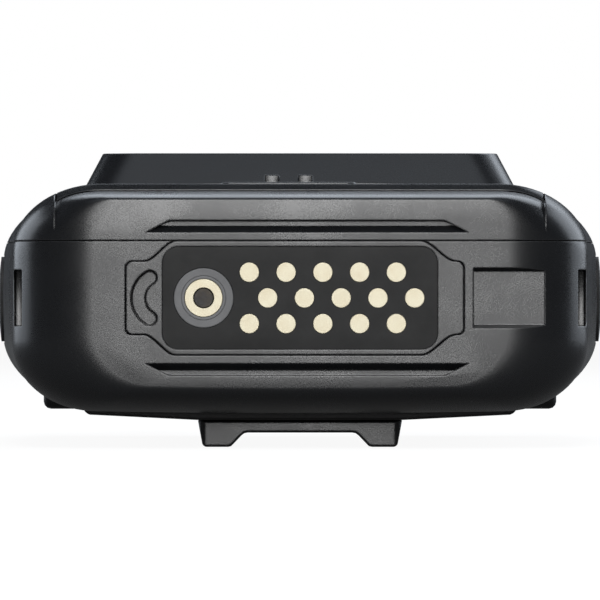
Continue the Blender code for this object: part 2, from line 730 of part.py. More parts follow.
def hood_loft(inset, low, high):
    """The hood's tapered block, drawn in by an inset, between two heights."""
    rings = []
    for height in (low, high):
        share = (height - CASE_HIGH) / (HOOD_TOP - CASE_HIGH)
        half = HOOD_BASE_HALF_WIDTH + (HOOD_TOP_HALF_WIDTH - HOOD_BASE_HALF_WIDTH) * share - inset
        near = HOOD_START + 2.0 * MM + HOOD_NEAR_SLOPE * share + inset
        far = HOOD_START + HOOD_LENGTH - 0.5 * MM - MM * share - inset
        middle = (0.0, (near + far) / 2)
        outline = rounded_rectangle(middle, (half, (far - near) / 2), HOOD_CORNER - inset / 2, 5)
        rings.append([(across, along, height) for across, along in outline])
    solid = bmesh.new()
    low_loop, high_loop = ([solid.verts.new(point) for point in ring] for ring in rings)
    edges = []
    for loop in (low_loop, high_loop):
        solid.faces.new(loop)
        edges += [solid.edges.get((loop[index - 1], loop[index])) for index in range(len(loop))]
    bmesh.ops.bridge_loops(solid, edges=edges)
    return solid


def lens_outline(grow=0.0):
    middle = (0.0, LENS_START + LENS_LENGTH / 2)
    return rounded_rectangle(middle, (LENS_HALF_WIDTH + grow, LENS_LENGTH / 2 + grow), 1.5 * MM + grow)


def display_hood():
    hood = piece("display_hood", hood_loft(0.0, CASE_HIGH - 2.0 * MM, HOOD_TOP), "shell_plastic")
    foot = cutter("hood_foot", case_form())
    combine(foot, front_area("foot_area", FASCIA_HALF_WIDTH, HOOD_START, FASCIA_END - FIT), "INTERSECT")
    combine(hood, foot, "UNION")
    combine(hood, cutter("hood_underside", case_form(drop=FASCIA_THICKNESS)))
    inside = HOOD_TOP - HOOD_WALL
    combine(hood, cutter("hood_cavity", hood_loft(HOOD_WALL, CASE_HIGH - 4.0 * MM, inside)))
    combine(hood, cutter("lens_opening", prism(lens_outline(FIT), inside - MM, HOOD_TOP + MM, "Z")))


def display():
    top = HOOD_TOP - 0.1 * MM
    piece("display_lens", prism(lens_outline(), top - LENS_THICKNESS, top, "Z"), "lens")
    low = CASE_HIGH - FASCIA_THICKNESS + STACK_GAP
    half = SHELL_WINDOW_HALF_WIDTH + PANEL_OVERLAP
    along = (LENS_START - PANEL_OVERLAP, LENS_START + LENS_LENGTH + PANEL_OVERLAP)
    piece("display_panel", box((-half, half), along, (low, low + PANEL_THICKNESS)), "lens")


# Front and side controls


def function_key():
    top = CASE_HIGH + FUNCTION_KEY_PROUD
    low = CASE_HIGH - KEY_WELL_DEPTH + KEY_TRAVEL + FIT
    middle = FUNCTION_KEY_START + FUNCTION_KEY_SIZE[1] / 2
    half = [size / 2 for size in FUNCTION_KEY_SIZE]
    key = piece(
        "function_key", prism(rounded_rectangle((0.0, 0.0), half, 0.9 * MM), low - top, 0.0, "Z"),
        "shell_plastic", (FUNCTION_KEY_X, middle, top),
    )
    ridges = []
    for side in (-1, 1):
        across = side * RIDGE_PITCH / 2
        ridges.append(box(
            (across - RIDGE_WIDTH / 2, across + RIDGE_WIDTH / 2),
            (-RIDGE_LENGTH / 2, RIDGE_LENGTH / 2), (-0.3 * MM, RIDGE_HEIGHT),
        ))
    combine(key, cutter("key_ridges", joined(*ridges), key.location), "UNION")


def menu_keys():
    low = CASE_HIGH - KEY_WELL_DEPTH + KEY_TRAVEL + FIT
    half = [size / 2 for size in MENU_KEY_SIZE]
    for place, name in ((-1, "key_down"), (0, "key_set"), (1, "key_up")):
        body = prism(rounded_rectangle((0.0, 0.0), half, 1.1 * MM), low - CASE_HIGH, MENU_KEY_PROUD, "Z")
        piece(name, body, "rubber", (place * MENU_KEY_PITCH, MENU_KEY_Y, CASE_HIGH))


def status_light():
    low = CASE_HIGH - FASCIA_THICKNESS + 0.05 * MM
    body = rod((0.0, 0.0), LIGHT_RADIUS, 0.0, CASE_HIGH - low, 14, "Z")
    piece("status_light", body, "light", (LIGHT_X, LIGHT_Y, low))


def side_buttons():
    for side, name in ((-1, "side_button_left"), (1, "side_button_right")):
        start, end = sorted((0.0, side * BEYOND))
        outline = [(along - GRIP_CENTRE, up - GRIP_HEIGHT) for along, up in side_outline()]
        place = (side * (SIDE_WELL_FLOOR + SIDE_BUTTON_TRAVEL + FIT), GRIP_CENTRE, GRIP_HEIGHT)
        button = piece(name, prism(outline, start, end, "X"), "rubber", place)
        combine(button, cutter(name + "_face", case_form(widen=SIDE_BUTTON_PROUD)), "INTERSECT")


# Dock


def contact_places():
    """Three staggered rows of five, the middle row half a pitch to the right."""
    places = []
    for row in (1, 0, -1):
        offset = CONTACT_PITCH / 2 if row == 0 else 0.0
        for column in range(5):
            across = CONTACT_FIRST_X + offset + column * CONTACT_PITCH
            places.append((across, DOCK_HEIGHT + row * CONTACT_ROW_PITCH))
    return places


def plate_outline(grow=0.0):
    half = (PLATE_HALF_WIDTH + grow, PLATE_HALF_HEIGHT + grow)
    return rounded_rectangle((0.0, DOCK_HEIGHT), half, PLATE_CORNER + grow)


def dock_frame():
    frame = piece("dock_frame", prism(frame_outline(), 0.0, FRAME_DEPTH - FIT), "dock_plastic")
    combine(frame, cutter("plate_window", prism(plate_outline(FIT / 2), -BEYOND, BEYOND)))
    combine(frame, cutter("kidney_slot", prism(kidney_outline(), -BEYOND, KIDNEY_DEPTH)))


def dock_insert():
    """The contact plate, with a flange behind the end wall that keeps it in."""
    start = END_WALL + STACK_GAP
    plate = piece("dock_insert", prism(plate_outline(-FIT / 2), PLATE_SETBACK, start + FIT), "dock_plastic")
    across = (FRAME_LEFT - FLANGE_OVERLAP / 2, FRAME_RIGHT + FLANGE_OVERLAP / 2)
    half = PLATE_HALF_HEIGHT + FLANGE_OVERLAP / 2
    combine(plate, cutter("insert_flange", box(
        across, (start, start + FLANGE_THICKNESS), (DOCK_HEIGHT - half, DOCK_HEIGHT + half)
    )), "UNION")
    radius = CONTACT_RADIUS + CONTACT_CLEARANCE
    holes = [rod(place, radius, -BEYOND, BEYOND, CONTACT_SIDES) for place in contact_places()]
    holes.append(rod((COAX_X, DOCK_HEIGHT), COAX_INSULATOR_RADIUS + 0.05 * MM, -BEYOND, BEYOND, 32))
    combine(plate, cutter("contact_holes", joined(*holes)))


def dock_contacts():
    for number, (across, up) in enumerate(contact_places(), start=1):
        pin = rod((0.0, 0.0), CONTACT_RADIUS, 0.0, CONTACT_LENGTH, CONTACT_SIDES)
        piece(f"dock_contact_{number:02d}", pin, "contact_gold", (across, 0.0, up))


def coax_contact():
    place = (COAX_X, 0.0, DOCK_HEIGHT)
    gap = 0.05 * MM
    turned("coax_insulator", [
        (COAX_BARREL_RADIUS + gap, 0.02 * MM), (COAX_INSULATOR_RADIUS - gap, 0.02 * MM),
        (COAX_INSULATOR_RADIUS - gap, COAX_LENGTH), (COAX_BARREL_RADIUS + gap, COAX_LENGTH),
    ], "dock_plastic", place)
    turned("coax_barrel", [
        (COAX_BORE_RADIUS, 0.0), (COAX_BARREL_RADIUS, 0.0),
        (COAX_BARREL_RADIUS, COAX_LENGTH), (COAX_BORE_RADIUS, COAX_LENGTH),
    ], "contact_gold", place)
    core = COAX_CORE_RADIUS
    turned("coax_core", [
        (0.0, COAX_CORE_SETBACK), (core, COAX_CORE_SETBACK), (core, COAX_LENGTH), (0.0, COAX_LENGTH),
    ], "dock_plastic", place, 16)


def dock_board():
    start = CONTACT_LENGTH + STACK_GAP
    half = PLATE_HALF_HEIGHT + FLANGE_OVERLAP / 2
    piece("dock_board", box(
        (FRAME_LEFT, FRAME_RIGHT), (start, start + BOARD_THICKNESS), (DOCK_HEIGHT - half, DOCK_HEIGHT + half)
    ), "board")


# Battery, its latch, and the clip rail


def battery_pack():
    half = BATTERY_HALF_WIDTH
    flat = RAIL_TOP_HALF_WIDTH
    shoulder = half - 1.5 * MM
    edge = BATTERY_LOW + BATTERY_EDGE_RISE
    right = [
        (flat, BATTERY_LOW), (shoulder, edge), (half - 0.4 * MM, edge + 0.1 * MM),
        (half, edge + 0.5 * MM), (half, BATTERY_HIGH),
    ]
    outline = right + [(-across, up) for across, up in reversed(right)]
    lifted = [(across, up - BATTERY_LOW) for across, up in outline]
    place = (0.0, BATTERY_START, BATTERY_LOW)
    battery = piece("battery_pack", prism(lifted, 0.0, BATTERY_LENGTH), "shell_plastic", place)
    half_x, half_y = (size / 2 + SLIDE_FIT for size in TERMINAL_SIZE)
    depth = TERMINAL_DROP + 0.5 * MM
    along = (TERMINAL_Y - half_y, TERMINAL_Y + half_y)
    recess = box((-half_x, half_x), along, (BATTERY_HIGH - depth, BATTERY_HIGH + MM))
    combine(battery, cutter("terminal_recess", recess))
    holes = [
        rod((0.0, along), SCREW_RADIUS + FIT, -MM, BATTERY_LOW + RAIL_SCREW_LENGTH, 10, "Z")
        for along in rail_screw_places()
    ]
    combine(battery, cutter("rail_screw_holes", joined(*holes)))


def battery_terminal():
    half_x, half_y = (size / 2 for size in TERMINAL_SIZE)
    low = BATTERY_HIGH - TERMINAL_DROP
    body = box((-half_x, half_x), (-half_y, half_y), (0.0, MAIN_BOARD_LOW - STACK_GAP - low))
    piece("battery_terminal", body, "contact_gold", (0.0, TERMINAL_Y, low))


def battery_latch():
    low = FOOT_LOW + 0.1 * MM
    body = box((-LATCH_HALF_WIDTH, LATCH_HALF_WIDTH), (0.0, LATCH_LENGTH), (0.0, LATCH_DEPTH - 0.1 * MM))
    piece("battery_latch", body, "shell_plastic", (0.0, LATCH_START, low))


def clip_rail():
    """The rail that a belt clip slides on: two feet with a dovetail channel between them."""
    top = BATTERY_LOW - SEAM
    edge = RAIL_FOOT_EDGE
    right = [
        (RAIL_CHANNEL_ROOF, RAIL_CHANNEL_HEIGHT), (RAIL_CHANNEL_MOUTH, 0.0),
        (RAIL_FOOT_HALF_WIDTH - edge, 0.0), (RAIL_FOOT_HALF_WIDTH, edge), (RAIL_TOP_HALF_WIDTH, top),
    ]
    outline = right + [(-across, up) for across, up in reversed(right)]
    rail = piece("clip_rail", prism(outline, RAIL_START, RAIL_START + RAIL_LENGTH), "dock_plastic")
    heads = [
        rod((0.0, along), SCREW_HEAD_RADIUS + FIT, -MM, RAIL_CHANNEL_HEIGHT + SCREW_HEAD_HEIGHT, 16, "Z")
        for along in rail_screw_places()
    ]
    shanks = [rod((0.0, along), SCREW_RADIUS + FIT, MM, BEYOND, 10, "Z") for along in rail_screw_places()]
    combine(rail, cutter("rail_screw_heads", joined(*heads)))
    combine(rail, cutter("rail_screw_shanks", joined(*shanks)))


# Screws


def screw(name, place, seat, tip):
    """A pan-head screw that points up: its head is below its seat."""
    head = rod((0.0, 0.0), SCREW_HEAD_RADIUS, -SCREW_HEAD_HEIGHT, 0.0, 16, "Z")
    made = piece(name, head, "steel", (*place, seat))
    shank = rod((0.0, 0.0), SCREW_RADIUS, -SCREW_HEAD_HEIGHT / 2, tip - seat, 10, "Z")
    shank = cutter(name + "_shank", shank, made.location)
    combine(made, shank, "UNION")


def screws():
    for number, place in enumerate(case_screw_places(), start=1):
        screw(f"case_screw_{number}", place, CASE_SCREW_SEAT - 0.1 * MM, CASE_SCREW_TIP)
    seat = RAIL_CHANNEL_HEIGHT + SCREW_HEAD_HEIGHT - 0.05 * MM
    for number, along in enumerate(rail_screw_places(), start=1):
        screw(f"rail_screw_{number}", (0.0, along), seat, BATTERY_LOW + RAIL_SCREW_LENGTH - STACK_GAP)


# Boards


def boards():
    high = MAIN_BOARD_LOW + BOARD_THICKNESS
    half = CASE_SCREW_X - BOSS_RADIUS - BOARD_MARGIN
    ends = (DOCK_WELL[1] + STACK_GAP, BODY_LENGTH - END_WALL - 4 * MM)
    piece("main_board", box((-half, half), ends, (MAIN_BOARD_LOW, high)), "board")
    low = high + STACK_GAP
    end = ends[1] - SHIELD_MARGIN
    piece("rf_shield", box(
        (SHIELD_X[0], SHIELD_X[1]), (end - SHIELD_LENGTH, end), (low, low + SHIELD_HEIGHT), 0.4 * MM, 1
    ), "steel")


# Top end: antenna, microphone socket and power switch


def antenna_and_socket():
    inner_end = BODY_LENGTH - END_WALL - STACK_GAP
    rod_end = BODY_LENGTH + ANTENNA_GAP - STACK_GAP
    turned("antenna_socket", [
        (0.0, inner_end), (SOCKET_RADIUS, inner_end), (SOCKET_RADIUS, rod_end), (0.0, rod_end),
    ], "contact_gold", (ANTENNA_X, 0.0, FITTING_HEIGHT), 20)
    collar = 6.0 * MM
    tip = ANTENNA_LENGTH
    nose = arc((tip - ANTENNA_TIP_RADIUS, 0.0), (ANTENNA_TIP_RADIUS, ANTENNA_TIP_RADIUS), 90.0, 0.0, 4)
    profile = [(0.0, 0.0), (ANTENNA_RADIUS, 0.0), (ANTENNA_RADIUS, collar)]
    profile += [(max(0.0, up), along) for along, up in nose[:-1]] + [(0.0, tip)]
    turned("antenna", profile, "rubber", (ANTENNA_X, BODY_LENGTH + ANTENNA_GAP, FITTING_HEIGHT), 20)


def microphone_socket():
    place = (MIC_X, BODY_LENGTH, FITTING_HEIGHT)
    back = -END_WALL - STACK_GAP
    floor = back + 1.5 * MM
    turned("mic_socket", [
        (0.0, back), (MIC_SHELL_RADIUS, back), (MIC_SHELL_RADIUS, MIC_PROUD),
        (MIC_BORE_RADIUS, MIC_PROUD), (MIC_BORE_RADIUS, floor), (0.0, floor),
    ], "steel", place)
    bore = MIC_BORE_RADIUS - FIT
    insert = piece("mic_insert", rod((0.0, 0.0), bore, 0.0, 2.0 * MM, 24), "dock_plastic",
                   (MIC_X, BODY_LENGTH + floor + 0.1 * MM, FITTING_HEIGHT))
    pins = [
        (MIC_BORE_RADIUS / 2 * math.cos(angle), MIC_BORE_RADIUS / 2 * math.sin(angle))
        for angle in (math.radians(degrees) for degrees in (90, 210, 330))
    ]
    holes = [rod(pin, MIC_PIN_RADIUS + 0.1 * MM, -MM, 3.0 * MM, 10) for pin in pins]
    combine(insert, cutter("mic_pin_holes", joined(*holes), insert.location))
    for number, (across, up) in enumerate(pins, start=1):
        pin = rod((0.0, 0.0), MIC_PIN_RADIUS, 0.0, 5.0 * MM, 10)
        piece(f"mic_pin_{number}", pin, "contact_gold",
              (MIC_X + across, BODY_LENGTH + floor + 0.1 * MM, FITTING_HEIGHT + up))
    ring = 0.3 * MM
    turned("mic_ring", [
        (MIC_SHELL_RADIUS + FIT, ring), (MIC_RING_RADIUS, ring), (MIC_RING_RADIUS, ring + MIC_RING_LENGTH),
        (MIC_SHELL_RADIUS + FIT, ring + MIC_RING_LENGTH),
    ], "steel", place)


def power_switch():
    half = [size / 2 for size in SWITCH_SIZE]
    body = box((-half[0], half[0]), (-END_WALL - STACK_GAP, SWITCH_PROUD), (-half[1], half[1]))
    piece("power_switch", body, "rubber", (-SWITCH_TRAVEL / 2, BODY_LENGTH, FITTING_HEIGHT))


for build in (
    rear_shell, front_shell, front_fascia, shell_seal, display_hood, display, function_key, menu_keys,
    status_light, side_buttons, dock_frame, dock_insert, dock_contacts, coax_contact, dock_board,
    battery_pack, battery_terminal, battery_latch, clip_rail, screws, boards, antenna_and_socket,
    microphone_socket, power_switch,
):
    build()
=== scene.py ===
# %% [markdown]
# # A body-worn wireless transmitter, seen from its dock end
# The unit lies on its back, on the two feet of its clip rail. Its front is +Z, its right is +X, and the
# end with the contacts faces -Y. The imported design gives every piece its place. This lesson gives each
# piece its finished form and its finish, in the order in which a maker would put the unit together.

# %% The fixed frame
import math

import bmesh
import bpy
from mathutils import Matrix, Vector


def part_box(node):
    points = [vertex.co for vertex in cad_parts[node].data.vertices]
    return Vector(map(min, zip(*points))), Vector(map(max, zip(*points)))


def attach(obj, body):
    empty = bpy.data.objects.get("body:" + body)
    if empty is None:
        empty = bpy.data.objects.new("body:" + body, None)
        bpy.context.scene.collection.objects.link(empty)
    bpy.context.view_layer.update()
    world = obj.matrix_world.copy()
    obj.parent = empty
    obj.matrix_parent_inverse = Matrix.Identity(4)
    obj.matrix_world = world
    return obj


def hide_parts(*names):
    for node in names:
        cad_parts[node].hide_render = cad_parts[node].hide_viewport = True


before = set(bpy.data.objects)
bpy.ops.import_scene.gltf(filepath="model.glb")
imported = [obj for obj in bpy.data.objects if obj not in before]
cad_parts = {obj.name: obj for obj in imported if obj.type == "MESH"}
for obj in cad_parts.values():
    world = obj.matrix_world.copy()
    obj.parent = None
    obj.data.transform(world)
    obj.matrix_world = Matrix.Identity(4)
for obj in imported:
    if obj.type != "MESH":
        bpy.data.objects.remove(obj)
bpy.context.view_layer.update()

# %% [markdown]
# ## Places read from the design
# Nothing here repeats a coordinate of the design where the frame can give it. The dock face is the lowest
# Y of the rear shell, and the line between the two shells lies just over the rear shell's rim. All lengths
# below are in metres, so a millimetre has a name of its own.

# %% Reference places
MM = 0.001
rear_low, rear_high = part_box("rear_shell")
plate_low, plate_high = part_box("dock_insert")
frame_low, frame_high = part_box("dock_frame")
battery_low, battery_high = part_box("battery_pack")
hood_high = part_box("display_hood")[1]
fascia_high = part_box("front_fascia")[1]

DOCK_Y = rear_low.y
TOP_Y = rear_high.y
BODY_LENGTH = TOP_Y - DOCK_Y
SEAM_GAP = 0.1 * MM
SEAM_Z = rear_high.z + SEAM_GAP / 2
DOCK_Z = (frame_low.z + frame_high.z) / 2
CASE_TOP = fascia_high.z
print(f"body {BODY_LENGTH / MM:.1f} mm long, seam at {SEAM_Z / MM:.2f} mm")
print(f"dock centre at {DOCK_Z / MM:.2f} mm")

# %% [markdown]
# ## Camera, floor and light
# A product picture of a small part is taken with a long lens from far away, so that near and far edges
# keep almost the same size. The camera stands a metre from the dock face, level with the middle of the
# body. One tall narrow soft light over the camera makes the flat end face pale, while the rounded sides turn
# away from it and fall dark. Lights at each side and one behind draw the thin bright rims. The floor glows
# for the camera, as a light table does, but throws little light upwards, so the underside stays dark.

# %% Camera
CAMERA_DISTANCE = 1.0
VIEW_WIDTH = 60.0 * MM
VIEW_HEIGHT = 14.9 * MM
SENSOR = 36.0

camera = bpy.data.objects.new("camera", bpy.data.cameras.new("camera"))
camera.data.sensor_width = SENSOR
camera.data.lens = SENSOR * CAMERA_DISTANCE / VIEW_WIDTH
camera.data.clip_start = 0.05
camera.data.clip_end = 20.0
camera.location = (0.0, DOCK_Y - CAMERA_DISTANCE, VIEW_HEIGHT)
camera.rotation_euler = (math.pi / 2, 0.0, 0.0)
bpy.context.collection.objects.link(camera)
bpy.context.scene.camera = camera
bpy.context.scene.view_settings.view_transform = "Standard"
print(f"lens {camera.data.lens:.0f} mm at {CAMERA_DISTANCE:.1f} m")


# %% Lights
def soft_light(name, azimuth, elevation, distance, size, power, colour=(1.0, 1.0, 1.0)):
    """A rectangular soft light aimed at the dock; azimuth is 0 at the camera and grows to the right."""
    turn, rise = math.radians(azimuth), math.radians(elevation)
    away = Vector((math.sin(turn) * math.cos(rise), -math.cos(turn) * math.cos(rise), math.sin(rise)))
    light = bpy.data.objects.new(name, bpy.data.lights.new(name, "AREA"))
    light.data.shape = "RECTANGLE"
    light.data.size, light.data.size_y = size
    light.data.energy = power
    light.data.color = colour
    light.location = Vector((0.0, DOCK_Y, DOCK_Z)) + away * distance
    light.rotation_euler = (-away).to_track_quat("-Z", "Y").to_euler()
    light.visible_camera = False
    bpy.context.collection.objects.link(light)
    return light


COOL = (0.84, 0.91, 1.0)
soft_light("key_light", 0.0, 26.0, 0.9, (0.22, 1.02), 8.7)
soft_light("over_light", 0.0, 80.0, 0.9, (0.70, 0.55), 1.15, COOL)
soft_light("left_light", -118.0, 12.0, 0.7, (0.62, 0.50), 2.6, COOL)
soft_light("right_light", 118.0, 20.0, 0.7, (0.62, 0.50), 3.0, COOL)
soft_light("back_light", 168.0, 38.0, 1.1, (0.90, 0.60), 3.6, COOL)
print("five soft lights")

# %% World
world = bpy.data.worlds.new("surroundings")
bpy.context.scene.world = world
world.use_nodes = True
nodes, links = world.node_tree.nodes, world.node_tree.links
nodes.clear()
seen = nodes.new("ShaderNodeBackground")
seen.inputs["Color"].default_value = (1.0, 1.0, 1.0, 1.0)
cast = nodes.new("ShaderNodeBackground")
cast.inputs["Color"].default_value = (0.80, 0.86, 1.0, 1.0)
cast.inputs["Strength"].default_value = 0.04
path = nodes.new("ShaderNodeLightPath")
choose = nodes.new("ShaderNodeMixShader")
output = nodes.new("ShaderNodeOutputWorld")
links.new(path.outputs["Is Camera Ray"], choose.inputs["Fac"])
links.new(cast.outputs["Background"], choose.inputs[1])
links.new(seen.outputs["Background"], choose.inputs[2])
links.new(choose.outputs["Shader"], output.inputs["Surface"])
print("white behind the unit, dim and cool in its reflections")

# %% Floor
FLOOR_RADIUS = 6.0
FLOOR_GLOW, FLOOR_CAST = 0.93, 0.07
floor_form = bmesh.new()
bmesh.ops.create_circle(floor_form, cap_ends=True, radius=FLOOR_RADIUS, segments=96)
floor = bpy.data.objects.new("floor", bpy.data.meshes.new("floor"))
floor_form.to_mesh(floor.data)
floor_form.free()
bpy.context.collection.objects.link(floor)
pale = bpy.data.materials.new("pale_floor")
pale.use_nodes = True
shader = pale.node_tree.nodes["Principled BSDF"]
shader.inputs["Base Color"].default_value = (0.10, 0.10, 0.10, 1.0)
shader.inputs["Roughness"].default_value = 0.9
shader.inputs["Specular IOR Level"].default_value = 0.0
shader.inputs["Emission Color"].default_value = (1.0, 1.0, 1.0, 1.0)
links = pale.node_tree.links
path = pale.node_tree.nodes.new("ShaderNodeLightPath")
glow = pale.node_tree.nodes.new("ShaderNodeMath")
glow.operation = "MULTIPLY_ADD"
glow.inputs[1].default_value = FLOOR_GLOW - FLOOR_CAST
glow.inputs[2].default_value = FLOOR_CAST
links.new(path.outputs["Is Camera Ray"], glow.inputs[0])
links.new(glow.outputs["Value"], shader.inputs["Emission Strength"])
floor.data.materials.append(pale)
print("floor at z = 0, unit resting on it")

# %% [markdown]
# ## Moulded plastic
# The case is glass-filled nylon from an eroded mould. Such a mould leaves a fine even grain, which shows as
# tiny bright and dark specks where a light is mirrored. On a worn unit the edges are polished by handling,
# so they are smoother and a little paler than the faces. The grain is cell noise in the Object coordinates,
# which are the same for every piece, so it runs on across a seam. The Bevel node finds the edges.


# %% Materials and textures
def new_material(name, colour, roughness, metallic=0.0, specular=0.5):
    """A Principled material; returns it with its tree and its shader node."""
    material = bpy.data.materials.new(name)
    material.use_nodes = True
    tree = material.node_tree
    shader = tree.nodes["Principled BSDF"]
    shader.inputs["Base Color"].default_value = (*colour, 1.0)
    shader.inputs["Roughness"].default_value = roughness
    shader.inputs["Metallic"].default_value = metallic
    shader.inputs["Specular IOR Level"].default_value = specular
    return material, tree, shader


def texture(tree, kind, cell, **settings):
    """A noise or cell texture whose features are about one cell wide, in metres."""
    place = tree.nodes.new("ShaderNodeTexCoord")
    node = tree.nodes.new(kind)
    node.inputs["Scale"].default_value = 1.0 / cell
    for socket, value in settings.items():
        node.inputs[socket].default_value = value
    tree.links.new(place.outputs["Object"], node.inputs["Vector"])
    return node


print("new_material, texture")

# %% Ramps, mixes and sums
def ramp(tree, source, low, high, from_low=0.0, from_high=1.0):
    """Maps a value's range to another range."""
    node = tree.nodes.new("ShaderNodeMapRange")
    node.inputs["From Min"].default_value = from_low
    node.inputs["From Max"].default_value = from_high
    node.inputs["To Min"].default_value = low
    node.inputs["To Max"].default_value = high
    tree.links.new(source, node.inputs["Value"])
    return node.outputs["Result"]


def mixed_colour(tree, share, first, second):
    """Two colours mixed by a share; a colour is a tuple or a socket."""
    node = tree.nodes.new("ShaderNodeMix")
    node.data_type = "RGBA"
    tree.links.new(share, node.inputs["Factor"])
    for socket, value in (("A", first), ("B", second)):
        target = next(s for s in node.inputs if s.name == socket and s.type == "RGBA")
        if isinstance(value, tuple):
            target.default_value = (*value, 1.0)
        else:
            tree.links.new(value, target)
    return next(s for s in node.outputs if s.type == "RGBA")


def maths(tree, operation, *values):
    node = tree.nodes.new("ShaderNodeMath")
    node.operation = operation
    for socket, value in zip(node.inputs, values):
        if isinstance(value, (int, float)):
            socket.default_value = value
        else:
            tree.links.new(value, socket)
    return node.outputs["Value"]


print("ramp, mixed_colour, maths")

# %% Edges and bumps
def edge_share(tree, radius):
    """0 on a face and near 1 on an edge: how far a rounded normal leans from the true one."""
    rounded = tree.nodes.new("ShaderNodeBevel")
    rounded.samples = 6
    rounded.inputs["Radius"].default_value = radius
    true = tree.nodes.new("ShaderNodeNewGeometry")
    lean = tree.nodes.new("ShaderNodeVectorMath")
    lean.operation = "DOT_PRODUCT"
    tree.links.new(rounded.outputs["Normal"], lean.inputs[0])
    tree.links.new(true.outputs["Normal"], lean.inputs[1])
    return rounded, ramp(tree, lean.outputs["Value"], 1.0, 0.0, 0.80, 0.995)


def bumped(tree, shader, height, distance, strength=1.0, normal=None):
    """Joins a height to the shader as a bump of a real depth, over a normal if one is given."""
    node = tree.nodes.new("ShaderNodeBump")
    node.inputs["Distance"].default_value = distance
    node.inputs["Strength"].default_value = strength
    tree.links.new(height, node.inputs["Height"])
    if normal is not None:
        tree.links.new(normal, node.inputs["Normal"])
    tree.links.new(node.outputs["Normal"], shader.inputs["Normal"])
    return node


print("edge_share, bumped")

# %% Textured plastic
CASE_WEAR = (0.055, 0.055, 0.058)


def textured_plastic(name, colour, roughness, grain=0.12 * MM, depth=0.0022 * MM, worn=CASE_WEAR):
    """Moulded plastic with eroded grain, cloudy gloss, and edges polished by handling."""
    material, tree, shader = new_material(name, colour, roughness)
    cells = texture(tree, "ShaderNodeTexVoronoi", grain, Randomness=1.0)
    cloud = texture(tree, "ShaderNodeTexNoise", 9.0 * MM, Detail=4.0, Roughness=0.6)
    fine = texture(tree, "ShaderNodeTexNoise", grain * 0.8, Detail=2.0, Roughness=0.7)
    rounded, edge = edge_share(tree, 0.18 * MM)
    patchy = maths(tree, "MULTIPLY", edge, ramp(tree, cloud.outputs["Fac"], 0.15, 0.75, 0.35, 0.65))
    speck = ramp(tree, fine.outputs["Fac"], 0.0, 1.0, 0.58, 0.72)
    paler = tuple(channel * 1.9 + 0.004 for channel in colour)
    tone = mixed_colour(tree, speck, colour, paler)
    tree.links.new(mixed_colour(tree, patchy, tone, worn), shader.inputs["Base Color"])
    gloss = maths(tree, "ADD", ramp(tree, cells.outputs["Distance"], -0.025, 0.03, 0.1, 0.7),
                  ramp(tree, cloud.outputs["Fac"], roughness - 0.03, roughness + 0.04, 0.35, 0.65))
    polish = maths(tree, "MULTIPLY", patchy, 0.10)
    tree.links.new(maths(tree, "SUBTRACT", gloss, polish), shader.inputs["Roughness"])
    bumped(tree, shader, cells.outputs["Distance"], depth, 1.0, rounded.outputs["Normal"])
    return material


print("textured_plastic")

# %% Satin plastic
def satin_plastic(name, colour, roughness, specular=0.5):
    """Smooth moulded plastic: faint flow marks and a very fine grain."""
    material, tree, shader = new_material(name, colour, roughness, specular=specular)
    cloud = texture(tree, "ShaderNodeTexNoise", 4.0 * MM, Detail=5.0, Roughness=0.6)
    fine = texture(tree, "ShaderNodeTexNoise", 0.12 * MM, Detail=2.0)
    darker = tuple(channel * 0.86 for channel in colour)
    lighter = tuple(channel * 1.10 for channel in colour)
    share = ramp(tree, cloud.outputs["Fac"], 0.0, 1.0, 0.35, 0.65)
    tree.links.new(mixed_colour(tree, share, darker, lighter), shader.inputs["Base Color"])
    tree.links.new(ramp(tree, fine.outputs["Fac"], roughness - 0.05, roughness + 0.05, 0.3, 0.7),
                   shader.inputs["Roughness"])
    rounded, _ = edge_share(tree, 0.10 * MM)
    bumped(tree, shader, fine.outputs["Fac"], 0.002 * MM, 1.0, rounded.outputs["Normal"])
    return material


print("satin_plastic")

# %% The plastics
case_plastic = textured_plastic("case_plastic", (0.0072, 0.0077, 0.0088), 0.27)
frame_plastic = textured_plastic("frame_plastic", (0.0080, 0.0083, 0.0090), 0.28, depth=0.0015 * MM)
battery_plastic = textured_plastic("battery_plastic", (0.0065, 0.0068, 0.0074), 0.33)
plate_plastic = satin_plastic("contact_plate", (0.034, 0.034, 0.034), 0.62, specular=0.12)
coax_plastic = satin_plastic("coax_plastic", (0.15, 0.152, 0.157), 0.50, specular=0.35)
print("plastics:", ", ".join(m.name for m in (case_plastic, frame_plastic, battery_plastic, plate_plastic)))

# %% [markdown]
# ## Outlines, plugs and carving
# Most pieces here are moulded: a flat outline drawn out into a plug, and one plug cut from another. An
# outline is a list of (across, up) points with its round stretches as arcs. A plug is that outline as one
# face, extruded by bmesh. Cuts are exact Booleans, applied straight away so that the finished piece is one
# plain mesh at the origin, and the tools that cut it are removed.


# %% Outlines
def arc(centre, radii, start, end, steps):
    """Points along an elliptical arc, both ends included; angles in degrees."""
    points = []
    for step in range(steps + 1):
        angle = math.radians(start + (end - start) * step / steps)
        points.append((centre[0] + radii[0] * math.cos(angle), centre[1] + radii[1] * math.sin(angle)))
    return points


def circle(centre, radius, sides=48):
    return arc(centre, (radius, radius), 0.0, 360.0 * (sides - 1) / sides, sides - 1)


def rounded_rectangle(centre, half, radius, steps=10):
    points = []
    for quarter, (side, end) in enumerate(((1, -1), (1, 1), (-1, 1), (-1, -1))):
        corner = (centre[0] + side * (half[0] - radius), centre[1] + end * (half[1] - radius))
        points += arc(corner, (radius, radius), 90.0 * (quarter - 1), 90.0 * quarter, steps)
    return points


def smooth_step(value):
    value = min(1.0, max(0.0, value))
    return value * value * (3.0 - 2.0 * value)


print("arc, circle, rounded_rectangle, smooth_step")

